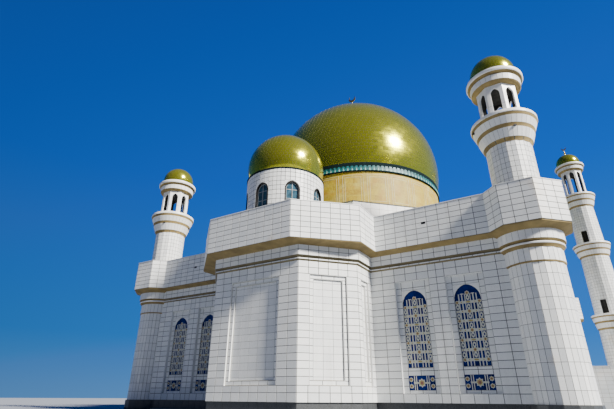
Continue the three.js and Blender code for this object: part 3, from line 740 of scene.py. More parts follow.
class Lattice:
    """The bars and flowers before one pane, around its middle, between two heights above its surface."""

    def __init__(self, shape, surface, middle, near, far):
        self.shape, self.surface, self.middle, self.near, self.far = shape, surface, middle, near, far

    def put(self, outline, lift=0.0, paint=None):
        self.shape.add(*prism(self.surface, outline, self.near, self.far + lift), paint)

    def rosette(self, u, z, radius):
        self.put(star(u, z, radius, 8, 0.72), 0.006)
        self.put(star(u, z, radius * 0.72, 8, 0.7), 0.012, OLIVE)
        self.put(circle(u, z, radius * 0.34, 8), 0.018, ROSE)

    def row(self, row):
        """Uprights that part one row into short strips of glass, and three pierced ovals."""
        level = FIRST_ROW + row * ROW_PITCH
        low = max(level - BAR_HEIGHT / 2 - BAR_LAP, WINDOW["foot"] + 0.02)
        high = level + BAR_HEIGHT / 2 + BAR_LAP
        last = row == ROW_COUNT - 1
        for side in (-1, 1):
            for place, half in UPRIGHTS:
                self.put(strip(self.middle + side * place, half, low, high))
        for place in EYE_PLACES:
            if row and not (last and place):
                at = self.middle + place
                outer, inner = (oval(at, level, EYE["across"] * k, EYE["up"] * k) for k in (1.0, EYE["hole"]))
                self.shape.add(*hoop(self.surface, outer, inner, self.near, self.far))

    def band(self, row):
        """The band over one row, with a rosette and small flowers that change places from band to band."""
        level = FIRST_ROW + (row + 0.5) * ROW_PITCH
        half = (ROW_PITCH - BAR_HEIGHT) / 2
        reach = WINDOW["half"] - BAR_LAP if row < ROW_COUNT - 2 else TOP_BAND_REACH
        self.put(strip(self.middle, reach, level - half, level + half), -0.002)
        for i in range(-5, 6):
            if abs(i) > 1:
                knot = circle(self.middle + KNOT_PITCH * i, level, KNOT_RADIUS, 4)
                self.put(knot, 0.006, OLIVE if i % 2 else None)
        if row % 2:
            self.rosette(self.middle, level, ROSETTE["band"])
        else:
            self.put(oval(self.middle, level, 0.16, 0.06, 8), 0.01, OLIVE)
            for side in (-1, 1):
                self.rosette(self.middle + side * EYE_PLACES[2], level, ROSETTE["side"])


def window_unit(glass, shape, surface, middle):
    """Glazing and lattice in one arched opening."""
    pane = -RECESS["depth"] - PANE_DEPTH
    glass.add(*prism(surface, arch(WINDOW, middle, inset=LINING), pane - PANE_THICK, pane))
    lattice = Lattice(shape, surface, middle, pane - 0.005, pane + 0.02)
    rim = arch(WINDOW, middle, inset=LINING)
    # A black edge around the pane: painted shade of the reveal
    edge = hoop(surface, rim, arch(WINDOW, middle, inset=0.04), lattice.near, lattice.far + 0.01)
    shape.add(*edge, BLACK_METAL_AND_SHADE)
    for row in range(ROW_COUNT):
        lattice.row(row)
        if row < ROW_COUNT - 1:
            lattice.band(row)
    crown = FIRST_ROW + (ROW_COUNT - 0.5) * ROW_PITCH
    lattice.rosette(middle, crown, ROSETTE["crown"])
    for side in (-1, 1):
        lattice.put(oval(middle + side * 0.36, crown - 0.05, 0.14, 0.035, 8))


def sill_panel(glass, shape, surface, middle):
    """The blue panel under a window: stripes, a large rosette and four small ones."""
    half, foot, top = SILL_PANEL["half"], SILL_PANEL["foot"], SILL_PANEL["top"]
    face = -RECESS["depth"]
    glass.add(*prism(surface, strip(middle, half, foot, top), face - SEAT, face + 0.012))
    lattice = Lattice(shape, surface, middle, face, face + 0.03)
    level = (foot + top) / 2
    for side in (-1, 1):
        left, right = sorted((side * 0.26, side * 0.56))
        lattice.put(rectangle(middle + left, middle + right, level - 0.055, level + 0.055))
        for u in (0.36, 0.5):
            lattice.put(strip(middle + side * u, 0.028, foot, top), -0.004)
        for z in (foot + 0.24, top - 0.24):
            lattice.rosette(middle + side * 0.74, z, ROSETTE["sill_side"])
    lattice.rosette(middle, level, ROSETTE["sill"])


# Walls

def window_bay(shape, glass, lattice, surface, middle):
    """The slabs above, below and inside one tall recess, its linings, its window and its sill panel."""
    left, right = middle - RECESS["half"], middle + RECESS["half"]
    foot, top, face = RECESS["foot"], RECESS["top"], -RECESS["depth"]
    slabs(shape, surface, (left, right, CLADDING_FOOT, foot), columns=3)
    slabs(shape, surface, (left, right, top, FILLET_LOW), columns=3)
    lining(shape, surface, (left, right, foot, top), face, PROUD)
    half = WINDOW["half"]
    for a, b in ((left, middle - half), (middle + half, right)):
        slabs(shape, surface, (a, b, foot, top), face, columns=1)
    levels = [foot, SILL_PANEL["foot"], SILL_PANEL["top"], WINDOW["foot"], WINDOW["apex"], top]
    for low, high in zip(levels[::2], levels[1::2]):
        slabs(shape, surface, (middle - half, middle + half, low, high), face, columns=2)
    for corner in spandrels(WINDOW, middle):
        shape.add(*prism(surface, corner, face - SEAT, face + PROUD))
    inner = arch(WINDOW, middle, inset=LINING)
    shape.add(*hoop(surface, arch(WINDOW, middle), inner, face - 0.2, face + PROUD))
    window_unit(glass, lattice, surface, middle)
    sill_panel(glass, lattice, surface, middle)


def window_wall(shape, glass, lattice, surface, half_length, middles):
    """Window bays with piers of slabs between and beside them."""
    edges = [-half_length]
    for middle in sorted(middles):
        edges += [middle - RECESS["half"], middle + RECESS["half"]]
        window_bay(shape, glass, lattice, surface, middle)
    edges.append(half_length)
    for left, right in zip(edges[::2], edges[1::2]):
        columns = max(1, round((right - left) / 0.55)) if right - left < 1.2 else None
        slabs(shape, surface, (left, right, CLADDING_FOOT, FILLET_LOW), columns=columns)


def blind_wall(shape, surface, half_length, half, doorway=False):
    """A wall with a blind panel stepped inwards twice."""
    foot, top, step, depth = BLIND["foot"], BLIND["top"], BLIND["step"], BLIND["depth"]
    whole = (-half_length, half_length, CLADDING_FOOT, FILLET_LOW)
    outer = (-half, half, foot, top)
    inner = (step - half, half - step, foot + step, top - step)
    door = (-DOORWAY["half"], DOORWAY["half"], CLADDING_FOOT, DOORWAY["apex"])
    if doorway:
        inner = inner[:2] + (CLADDING_FOOT, top - step)
        outer = outer[:2] + (CLADDING_FOOT, top)
    for field in beside(whole, outer):
        slabs(shape, surface, field)
    for field in beside(outer, inner):
        slabs(shape, surface, field, -depth)
    for field in beside(inner, door) if doorway else [inner]:
        slabs(shape, surface, field, -2 * depth, joint=FINE_JOINT)
    for field, floor in ((outer, PROUD - depth), (inner, PROUD - 2 * depth)):
        lining(shape, surface, field, floor - PROUD, floor + depth)
        # A dark strip in the inner corner of each step: a joint, darkened as painted shade of the step
        edge, inside = shrunk(field, LINING), shrunk(field, LINING + GROOVE_WIDTH)
        shape.add(*hoop(surface, edge, inside, floor - SEAT, floor + 0.003), GROOVE_SHADE)
    if doorway:
        for corner in spandrels(DOORWAY):
            shape.add(*prism(surface, corner, -2 * depth - SEAT, PROUD - 2 * depth))
        rim = arch(DOORWAY, inset=LINING)
        shape.add(*hoop(surface, arch(DOORWAY), rim, -2 * depth - 0.1, PROUD - 2 * depth))


def outward(a, b):
    length = dist(a, b)
    return (b[1] - a[1]) / length, (a[0] - b[0]) / length


def offset_line(line, distance):
    """A line moved outwards, with mitred corners."""
    moved = []
    for i, (x, y) in enumerate(line):
        before = outward(line[i - 1], line[i]) if i else outward(line[0], line[1])
        after = outward(line[i], line[i + 1]) if i < len(line) - 1 else before
        mitre = distance / (1 + before[0] * after[0] + before[1] * after[1])
        moved.append((x + mitre * (before[0] + after[0]), y + mitre * (before[1] + after[1])))
    return moved


def loft(line_a, line_b, loop):
    """A moulding between two lines with equally many points, as a loop of (share, level)."""
    return skin([
        [(ax + (bx - ax) * share, ay + (by - ay) * share, z) for share, z in loop]
        for (ax, ay), (bx, by) in zip(line_a, line_b)
    ])


def swept(line, loop):
    """A moulding along a line, as a loop of (distance outwards, level)."""
    return loft(line, offset_line(line, 1.0), loop)


def each_side(line):
    """The surface and half length of every stretch of a line."""
    return [(wall_surface(a, b), dist(a, b) / 2) for a, b in zip(line, line[1:])]


def bay_line(outline, plane, reach):
    half, front, side, shoulder = (outline[key] for key in ("half", "front", "side", "shoulder"))
    return [
        (-reach, plane), (-side, plane), (-side, shoulder), (-half, front),
        (half, front), (side, shoulder), (side, plane), (reach, plane),
    ]


def clad_facade(name, to_world, wall_line, parapet_line, contents):
    """Everything on one facade: contents gives what each stretch of its wall holds."""
    wall_line = [to_world(x, y) for x, y in wall_line]
    parapet_line = [to_world(x, y) for x, y in parapet_line]
    walls = Shape(f"{name}_wall_slabs", "marble", MARBLE)
    glass = Shape(f"{name}_window_glass", "blue_glass", BLUE_GLASS)
    lattice = Shape(f"{name}_window_lattice", "mosaic", LATTICE)
    for (surface, half_length), content in zip(each_side(wall_line), contents):
        if isinstance(content, str):
            half = BLIND_HALVES["front" if content == "doorway" else content]
            blind_wall(walls, surface, half_length, half, content == "doorway")
        else:
            window_wall(walls, glass, lattice, surface, half_length, content)
    for distance, low, high, count in (
        (FILLET_OUT, FILLET_LOW, FILLET_HIGH, 1), (FRIEZE_OUT, FRIEZE_LOW, COVE_FOOT + 0.06, 2),
    ):
        rows = even(low, high, (high - low) / count)
        for surface, half_length in each_side(offset_line(wall_line, distance)):
            slabs(walls, surface, (-half_length, half_length, low, high), rows=rows)
    walls.done()
    glass.done()
    lattice.done()
    plinth = Shape(f"{name}_plinth", "concrete", GRANITE)
    for surface, half_length in each_side(offset_line(wall_line, -PLINTH_IN)):
        field = (-half_length, half_length, GROUND_FLOOR, CLADDING_FOOT - 0.01)
        slabs(plinth, surface, field, joint=FINE_JOINT, rows=[field[2], field[3]])
    plinth.done()
    # The coves in ochre darkened as painted shade, and the hollows under the fillet and the frieze in dark
    # brown painted shade
    trim = Shape(f"{name}_coves", "concrete", OCHRE_AND_SHADE)
    frieze_line = offset_line(wall_line, FRIEZE_OUT)
    trim.add(*loft(frieze_line, parapet_line, COVE))
    for low, high, out in (
        (FILLET_HIGH + 0.01, FRIEZE_LOW, FRIEZE_OUT), (FILLET_LOW - 0.09, FILLET_LOW, FILLET_OUT),
    ):
        hollow = [(-0.05, low), (-0.05, high), (out - 0.01, high), (0.5 * out, high - 0.05), (0.02, low)]
        trim.add(*swept(wall_line, hollow), GROOVE_SHADE)
    trim.done(sharp=50)
    parapet = Shape(f"{name}_parapet_slabs", "marble", MARBLE)
    for surface, half_length in each_side(parapet_line):
        field = (-half_length, half_length, PARAPET_FOOT, PARAPET_TOP)
        slabs(parapet, surface, field, rows=PARAPET_COURSES)
    top, inside = PARAPET_TOP, -PARAPET_THICK
    parapet.add(*swept(parapet_line, upright_loop(inside - 0.03, 0.04, top, top + COPING)))
    parapet.add(*swept(parapet_line, upright_loop(inside - 0.012, inside, ROOF_TOP, top)), RENDER)
    parapet.done()


# Round pieces

def shaft(shape, centre, radii, levels, rows, columns=2, door=None):
    """Slabs on the flat sides of a tapering shaft. A door leaves its sides bare where it stands."""
    foot, top = levels
    flat = cos(pi / TOWER_SIDES)
    apothem_at = taper(radii[0] * flat, radii[1] * flat, foot, top)
    half = apothem_at(None) * tan(pi / TOWER_SIDES)
    for i in range(TOWER_SIDES):
        angle = -pi / 2 + (i + 0.5) * 2 * pi / TOWER_SIDES
        surface = facet_surface(centre, angle, apothem_at)
        field = (-half, half, foot, top)
        turn = (angle - door["angle"] + pi) % (2 * pi) - pi if door else pi
        if door and abs(turn) < pi / TOWER_SIDES + door["half"] / radii[0]:
            shift = apothem_at(None) * sin(turn)
            edges = [(side * door["half"] - shift) / cos(turn) for side in (-1, 1)]
            hole = (max(edges[0], -half), min(edges[1], half), door["low"], door["high"])
            for part in beside(field, hole):
                wide = part[1] - part[0] > 1.5 * half
                inside = [part[2], *(z for z in rows if part[2] + 0.1 < z < part[3] - 0.1), part[3]]
                slabs(shape, surface, part, columns=columns if wide else 1, rows=inside, joint=SHAFT_JOINT)
        else:
            slabs(shape, surface, field, columns=columns, rows=rows, joint=SHAFT_JOINT)


def round_slabs(shape, centre, radii, levels, count):
    """One course of curved slabs around a flaring band."""
    low, high = levels
    reference = sum(radii) / 2
    surface = drum_surface(centre, taper(*radii, low, high), reference)
    edge = pi * reference
    field = (-edge, edge, low, high)
    slabs(shape, surface, field, columns=count, rows=[low, high], joint=FINE_JOINT, bend=2)


def balcony(shape, centre, stage, spouts=()):
    """Two flared bands of slabs over ochre coves darkened as painted shade, a rounded rim and its deck.

    A spout is given as its angle and its shares of the way out and down.
    """
    high, rim, deck, drop = stage["high"], stage["rim"], stage["deck"], stage["drop"]

    def at(out, down, extra=0.0):
        return high + out * (rim - high) + extra, deck - down * drop

    core = high - 0.2
    for foot, top, curve in BALCONY_COVES:
        loop = [(core, at(0, foot)[1]), (core, at(0, top)[1]), *(at(*place) for place in curve)]
        shape.add(*ring(centre, loop, ROUND_SIDES), OCHRE_AND_SHADE)
    for foot, top in BALCONY_BANDS:
        (r0, z0), (r1, z1) = at(*foot, 0.005), at(*top, 0.005)
        round_slabs(shape, centre, (r0, r1), (z0, z1), BAND_SLABS)
    edge = [
        (core, deck - 0.12 * drop), (core, deck + 0.02), (rim - 0.04, deck + 0.02), (rim, deck - 0.005),
        (rim + 0.015, deck - 0.05), (rim + 0.015, deck - 0.1 * drop), (rim - 0.02, deck - 0.12 * drop),
    ]
    shape.add(*ring(centre, edge, ROUND_SIDES), MARBLE_PLAIN)
    shape.add(*lathe(centre, disc(core, deck, deck + 0.02), ROUND_SIDES), MARBLE_PLAIN)
    for angle, out, down in spouts:
        radius, level = at(out, down)
        surface = drum_surface(centre, lambda z: radius, 1.0)
        outline = circle(radians(angle), level, BALCONY_SPOUT["radius"], 8)
        shape.add(*prism(surface, outline, -0.1, BALCONY_SPOUT["reach"]), BLACK_METAL_AND_SHADE)


def lantern(name, centre, foot, spec, replaces):
    """An open eight-sided lantern under a cornice of two rings; its inside is near black, painted shade."""
    shape = Shape(name, "marble", MARBLE_PLAIN)
    apothem = HEAD["corner"] * cos(pi / 8)
    half = apothem * tan(pi / 8)
    thick = apothem - HEAD["inner"] * cos(pi / 8)
    height, open_half = spec["height"], spec["half"]
    joint_at, gap = foot + spec["spring"] * POST_JOINT["share"], POST_JOINT["gap"]
    opening = {"half": spec["half"], **{key: spec[key] + foot for key in ("foot", "spring", "apex")}}
    for i in range(8):
        surface = facet_surface(centre, i * pi / 4, lambda z: apothem)
        faces = spandrels(opening, top=foot + height, steps=5)
        faces.append(rectangle(-open_half, open_half, foot, opening["foot"]))
        for left, right in ((-half, -open_half), (open_half, half)):
            faces.append(rectangle(left, right, foot, joint_at - gap))
            faces.append(rectangle(left, right, joint_at + gap, foot + height))
            joint = rectangle(left, right, joint_at - POST_JOINT["half"], joint_at + POST_JOINT["half"])
            shape.add(*prism(surface, joint, -POST_FACE, -gap), GROUT)
        for outline in faces:
            shape.add(*prism(surface, outline, -POST_FACE, 0.0))
            # The inner halves of the posts are near black: painted shade
            shape.add(*prism(surface, outline, -thick, -POST_FACE), DARK_AND_SHADE)
    ceiling = opening["apex"] + 0.05
    # A near-black disc fills the top of the lantern: painted shade inside
    dark = disc(HEAD["inner"] - 0.02, ceiling, foot + height)
    shape.add(*lathe(centre, dark, *OCTAGON), DARK_AND_SHADE)
    cornice(shape, centre, foot + height)
    shape.done(replaces)


def cornice(shape, centre, foot):
    def loop(points):
        return [(r, foot + z) for r, z in points]

    shape.add(*lathe(centre, loop(CORNICE_CORE), 32), GROUT)
    # The coves under the rings in ochre, darkened as painted shade
    for points in CORNICE_COVES:
        shape.add(*ring(centre, loop(points), ROUND_SIDES), OCHRE_AND_SHADE)
    levels = foot + CORNICE_SLABS["low"], foot + CORNICE_SLABS["high"]
    round_slabs(shape, centre, CORNICE_SLABS["radii"], levels, CORNICE_SLABS["count"])
    shape.add(*ring(centre, loop(CORNICE_RIM), ROUND_SIDES))


def sphere_surface(centre, level, radius, reference):
    """u is arc length around at the reference radius, z arc length up from the equator."""
    def surface(u, z, d):
        up, turn = z / radius, u / reference
        away = (radius + d) * cos(up)
        across, along = away * cos(turn), away * sin(turn)
        return centre[0] + across, centre[1] + along, level + (radius + d) * sin(up)
    return surface


def gilt_dome(name, centre, dome, foot, replaces):
    """A shell under overlapping courses of gilded plates, which meet in dark seams."""
    shape = Shape(name, "gilt_metal", GILT)
    radius, level = dome["radius"], dome["centre"]
    width, course = dome["plate"]
    seam, depth = SEAM_SHARE * course, RISE_SHARE * course
    low = asin((foot - level) / radius)
    shell = radius - depth

    def arc(reach, count):
        angles = [low + (pi / 2 - low) * i / count for i in range(count)]
        return [(reach * cos(a), level + reach * sin(a)) for a in angles]

    inside = radius - dome["thick"]
    profile = [(0, level + inside), *arc(inside, 12)[::-1], *arc(shell, 40), (0, level + shell)]
    shape.add(*lathe(centre, profile, dome["sides"]), GILT_SEAM, 0.5)
    rows = even(low * radius, pi / 2 * radius, course)
    for k, (start, end) in enumerate(zip(rows, rows[1:])):
        reference = radius * cos((start + end) / 2 / radius)
        count = round(2 * pi * reference / width)
        if count < 8:
            low_cap = start / radius
            cap = [(0, level + shell * sin(low_cap))]
            cap += [(radius * cos(a), level + radius * sin(a))
                    for a in (low_cap + (pi / 2 - low_cap) * i / 4 for i in range(4))]
            shape.add(*lathe(centre, [*cap, (0, level + radius)], 32), tone=0.4)
            break
        surface = sphere_surface(centre, level, radius, reference)
        pitch = 2 * pi * reference / count
        for i in range(count):
            left = (i + 0.5 * (k % 2)) * pitch + seam / 2
            us = [left, left + (pitch - seam) / 2, left + pitch - seam]
            shape.add(*block(surface, us, start + seam / 2, end - seam / 2, -1.5 * depth, 0.0, seam / 3))
    piece = shape.done([replaces])
    middle = tuple(value * SCALE for value in (*centre, level))
    round_off(piece.data, middle, radius * SCALE, shape.random)


def round_off(mesh, centre, radius, tilts):
    """Shades the plates' outer faces as one sphere, each tilted by a hair, and darkens their edges."""
    normals = []
    for polygon in mesh.polygons:
        corners = [Vector(mesh.vertices[v].co) - Vector(centre) for v in polygon.vertices]
        outer = all(corner.length > radius * 0.9995 for corner in corners)
        tilt = Vector([tilts.uniform(-PLATE_TILT, PLATE_TILT) for _ in range(3)])
        if not outer:
            polygon.material_index = 1
        for corner in corners:
            normals.append((corner.normalized() + tilt).normalized() if outer else polygon.normal.copy())
    mesh.normals_split_custom_set(normals)


def crescent(shape, centre, level, radius, thick):
    """Horns that open upwards, facing the rear and the front."""
    surface = wall_surface((centre[0] - 1, centre[1]), (centre[0] + 1, centre[1]))
    hole, rise = 0.76, 0.36
    tip = (1 - hole * hole + rise * rise) / (2 * rise)
    outer_tip = asin(tip)
    inner_tip = asin((tip - rise) / hole)
    steps = 28
    outer = [pi - outer_tip + (pi + 2 * outer_tip) * i / steps for i in range(steps + 1)]
    inner = [2 * pi + inner_tip - (pi + 2 * inner_tip) * i / steps for i in range(1, steps)]
    outline = [(radius * cos(a), level + radius * sin(a)) for a in outer]
    outline += [(radius * hole * cos(a), level + radius * (rise + hole * sin(a))) for a in inner]
    shape.add(*prism(surface, outline, -thick / 2, thick / 2))


def finial(name, centre, foot, profile, horns, replaces):
    shape = Shape(name, "gilt_metal", GILT_PLAIN)
    points = [(0, foot), *[(r, foot + z) for r, z in profile], (0, foot + profile[-1][1])]
    shape.add(*lathe(centre, points, 24))
    crescent(shape, centre, foot + horns["level"], horns["radius"], horns["radius"] * 0.24)
    shape.done(replaces)


# The hall's facades

WALL_REACH = TOWER_X - 1.28
PARAPET_REACH = TOWER_X - 2.15
WING_MIDDLE = (WALL_REACH + BAY_WALL["side"]) / 2
WING = [FIRST_WINDOW + i * WINDOW_PITCH - WING_MIDDLE for i in range(2)]
OTHER_WING = [-u for u in WING]
SIDE_MIDDLES = [(i - (SIDE_WINDOWS - 1) / 2) * WINDOW_PITCH for i in range(SIDE_WINDOWS)]


def build_facades():
    wall_line = bay_line(BAY_WALL, WALL_INSET, WALL_REACH)
    parapet_line = bay_line(BAY_PARAPET, 0.0, PARAPET_REACH)
    for name, front, to_world in (
        ("rear", "front", lambda x, y: (x, REAR_PLANE + y)),
        ("front", "doorway", lambda x, y: (-x, FRONT_PLANE - y)),
    ):
        contents = [OTHER_WING, "cheek", "corner", front, "corner", "cheek", WING]
        clad_facade(name, to_world, wall_line, parapet_line, contents)
    wall_reach = SIDE_REACH - TOWER_X + WALL_REACH
    parapet_reach = SIDE_REACH - TOWER_X + PARAPET_REACH
    for name, to_world in (
        ("right", lambda x, y: (SIDE_PLANE - y, SIDE_MIDDLE + x)),
        ("left", lambda x, y: (y - SIDE_PLANE, SIDE_MIDDLE - x)),
    ):
        wall_line = [(-wall_reach, WALL_INSET), (wall_reach, WALL_INSET)]
        parapet_line = [(-parapet_reach, 0.0), (parapet_reach, 0.0)]
        clad_facade(name, to_world, wall_line, parapet_line, [SIDE_MIDDLES])


def build_parapet_drains():
    """Drain slots in the rear parapet, drawn as flush black rectangles: painted shade of their openings."""
    shape = Shape("parapet_spouts", "concrete", BLACK_METAL_AND_SHADE)
    level, rise = PARAPET_DRAIN["level"], PARAPET_DRAIN["rise"]
    for side in (-1, 1):
        x = side * PARAPET_DRAIN["x"]
        surface = wall_surface((x - 1, REAR_PLANE), (x + 1, REAR_PLANE))
        slot = strip(0.0, PARAPET_DRAIN["half"], level - rise, level + rise)
        shape.add(*prism(surface, slot, -0.1, PARAPET_DRAIN["reach"]))
    shape.done()


def build_doors():
    """Two panelled leaves in the front doorway, over the plain solid."""
    shape = Shape("front_door_panels", "door_wood", DOOR_WOOD)
    face = real_box("front_doors")[1].y
    surface = wall_surface((1.0, face), (-1.0, face))
    half, spring = DOORWAY["half"], DOORWAY["spring"]
    bar, margin = DOORS["bar"], DOORS["margin"]
    for outline in (
        strip(0.0, 0.05, GROUND_FLOOR, DOORWAY["apex"] - bar),
        strip(0.0, half - bar, spring - bar, spring + bar),
    ):
        shape.add(*prism(surface, outline, -SEAT, 0.04))
    levels = [*(GROUND_FLOOR + rise for rise in (margin, *DOORS["rail"])), spring - margin]
    aside, rise = DOORS["handle"]
    for side in (-1, 1):
        left, right = sorted((side * margin, side * (half - margin)))
        for low, high in zip(levels[::2], levels[1::2]):
            edge, inner, field = (shrunk((left, right, low, high), by) for by in (0.0, *DOORS["steps"]))
            shape.add(*hoop(surface, edge, inner, -SEAT, 0.035))
            shape.add(*prism(surface, field, -SEAT, 0.03))
        handle = circle(side * aside, GROUND_FLOOR + rise, 0.05, 12)
        shape.add(*prism(surface, handle, -SEAT, 0.09), GILT_PLAIN)
    rim = {**DOORWAY, "foot": GROUND_FLOOR}
    shape.add(*hoop(surface, arch(rim, inset=0.01), arch(rim, inset=0.1), -SEAT, 0.05))
    shape.done()


# Towers

def crown_cove(shape, centre):
    """The ochre soffit that goes from the round frieze out to the octagonal crown, its ochre darkened as
    painted shade.
    """
    inner = TOWER["frieze"] + 0.01
    sections = []
    for i in range(ROUND_SIDES):
        angle = 2 * pi * i / ROUND_SIDES
        turn = (angle + pi / 8) % (pi / 4) - pi / 8
        outer = (CROWN_APOTHEM - 0.03) / cos(turn)
        sections.append([
            (centre[0] + (inner + (outer - inner) * share) * cos(angle),
             centre[1] + (inner + (outer - inner) * share) * sin(angle), z)
            for share, z in CROWN_COVE
        ])
    shape.add(*skin(sections, closed=True), OCHRE_AND_SHADE)


def build_tower(name, centre):
    shape = Shape(f"tower_slabs_{name}", "marble", MARBLE)
    low, high, band, neck = TOWER["low"], TOWER["high"], TOWER["band"], TOWER["neck"]
    core, cove, base = TOWER["core"], TOWER["cove"], (TOWER["base"], TOWER["base"])
    plinth = Shape(f"tower_plinth_{name}", "concrete", GRANITE)
    shaft(plinth, centre, base, (GROUND_FLOOR, CLADDING_FOOT), [GROUND_FLOOR, CLADDING_FOOT], 1)
    plinth.done()
    lower, upper = (CLADDING_FOOT, band - 0.08), (band, neck - 0.05)
    shaft(shape, centre, (low, low), lower, even(*lower, TOWER_COURSE))
    shaft(shape, centre, (high, high), upper, upper)
    # Ochre undersides of the band, the neck and the frieze, darkened as painted shade
    for loop in (
        [
            (core, band - 0.1), (core, band), (high + 0.02, band), (high + 0.01, band - 0.04),
            (low + 0.02, band - 0.1),
        ],
        [
            (core, neck - 0.07), (core, FILLET_LOW + 0.02), (2.05, FILLET_LOW), (2.0, FILLET_LOW - 0.07),
            (cove, neck), (high + 0.025, neck - 0.07),
        ],
        [
            (core, FILLET_HIGH - 0.01), (core, FRIEZE_LOW + 0.02), (2.15, FRIEZE_LOW + 0.01),
            (2.05, FRIEZE_LOW - 0.03), (1.95, FRIEZE_LOW - 0.1), (cove, FILLET_HIGH - 0.01),
        ],
    ):
        shape.add(*ring(centre, loop, ROUND_SIDES), OCHRE_AND_SHADE)
    fillet = [
        (1.7, FILLET_LOW - 0.01), (1.7, FILLET_HIGH + 0.01), (TOWER["fillet"], FILLET_HIGH + 0.01),
        (2.07, FILLET_HIGH - 0.03), (2.075, FILLET_LOW + 0.04), (2.05, FILLET_LOW - 0.01),
    ]
    shape.add(*ring(centre, fillet, ROUND_SIDES), MARBLE_PLAIN)
    frieze = TOWER["frieze"] + 0.005
    round_slabs(shape, centre, (frieze, frieze), (FRIEZE_LOW, CROWN_FRIEZE_TOP), 32)
    crown_cove(shape, centre)
    shape.done()
    crown = Shape(f"crown_slabs_{name}", "marble", MARBLE)
    corner = CROWN_APOTHEM / cos(pi / 8)
    for surface, half in each_side(octagon(centre, corner)):
        slabs(crown, surface, (-half, half, PARAPET_FOOT, PARAPET_TOP), columns=3, rows=PARAPET_COURSES)
    wall = PARAPET_THICK / cos(pi / 8)
    top = PARAPET_TOP
    inner = corner - wall
    coping = upright_loop(inner - 0.03, corner + 0.04, top, top + COPING)
    crown.add(*ring(centre, coping, *OCTAGON))
    crown.add(*ring(centre, upright_loop(inner - 0.012, inner, ROOF_TOP, top), *OCTAGON), RENDER)
    crown.add(*lathe(centre, disc(inner, ROOF_TOP, ROOF_TOP + 0.02), *OCTAGON), ROOFING)
    crown.done()
    minaret = Shape(f"minaret_slabs_{name}", "marble", MARBLE)
    foot, top = ROOF_TOP + 0.02, MINARET["deck"] - MINARET["drop"]
    shaft(minaret, centre, (MINARET["low"], MINARET["high"]), (foot, top), even(foot, top, SHAFT_COURSE))
    balcony(minaret, centre, MINARET, BALCONY_SPOUTS)
    minaret.done()
    lantern(f"lantern_looks_{name}", centre, MINARET["deck"], LANTERN_SMALL, [f"lantern_{name}"])
    cornice_foot = MINARET["deck"] + LANTERN_SMALL["height"]
    small_dome(f"minaret_dome_looks_{name}", centre, cornice_foot, f"minaret_dome_{name}")


def small_dome(name, centre, cornice_foot, replaces):
    foot = cornice_foot + CORNICE_HEIGHT
    dome = {"radius": HEAD["dome"], "centre": foot + HEAD["rise"], **HEAD_DOME}
    gilt_dome(name, centre, dome, foot, replaces)


def build_tall_minaret():
    centre = middle_of("tall_minaret")
    shape = Shape("tall_minaret_slabs", "marble", MARBLE)
    for i, stage in enumerate(TALL_STAGES):
        foot, top = stage["foot"] + 0.02, stage["deck"] - stage["drop"]
        door = None
        if i:
            low = stage["foot"] + TALL_DOOR["foot"]
            door = {**TALL_DOOR, "low": low, "high": low + TALL_DOOR["height"]}
        rows = even(foot, top, SHAFT_COURSE)
        shaft(shape, centre, (stage["low"], stage["high"]), (foot, top), rows, door=door)
        balcony(shape, centre, stage)
        if door:
            tall_door(shape, centre, stage["low"], door)
    shape.done()
    deck = TALL_STAGES[-1]["deck"]
    lantern("tall_lantern_looks", centre, deck, LANTERN_TALL, ["tall_lantern"])
    small_dome("tall_dome_looks", centre, deck + LANTERN_TALL["height"], "tall_dome")
    tip = deck + LANTERN_TALL["height"] + CORNICE_HEIGHT + HEAD["rise"] + HEAD["dome"]
    finial("tall_finial_looks", centre, tip, TALL_FINIAL, TALL_HORNS, ["tall_finial"])


def tall_door(shape, centre, radius, door):
    """A dark leaf at the back of the doorway onto a balcony."""
    surface = facet_surface(centre, door["angle"], lambda z: radius - door["depth"])
    half = door["half"] - 0.01
    shape.add(*prism(surface, rectangle(-half, half, door["low"], door["high"]), -0.04, 0.03), DARK_AND_SHADE)
    for side in (-1, 1):
        left, right = sorted((side * 0.03, side * (half - 0.05)))
        panel = rectangle(left, right, door["low"] + 0.1, door["high"] - 0.1)
        shape.add(*prism(surface, panel, 0.0, 0.05), BLACK_METAL_AND_SHADE)


def build_annex():
    low, high = real_box("minaret_annex")
    shape = Shape("annex_slabs", "marble", MARBLE)
    rows = within(COURSES, CLADDING_FOOT, high.z)
    line = [
        (SIDE_PLANE - WALL_INSET + 0.05, low.y), (high.x, low.y), (high.x, high.y), (low.x, high.y),
        (low.x, FRONT_PLANE),
    ]
    for surface, half in each_side(line):
        slabs(shape, surface, (-half, half, CLADDING_FOOT, high.z), rows=rows)
        base = (-half, half, 0.0, CLADDING_FOOT)
        slabs(shape, surface, base, rows=[0.0, CLADDING_FOOT])
    shape.add(*swept(line, upright_loop(-0.4, 0.06, high.z, high.z + 0.06)))
    shape.done()


# Domes

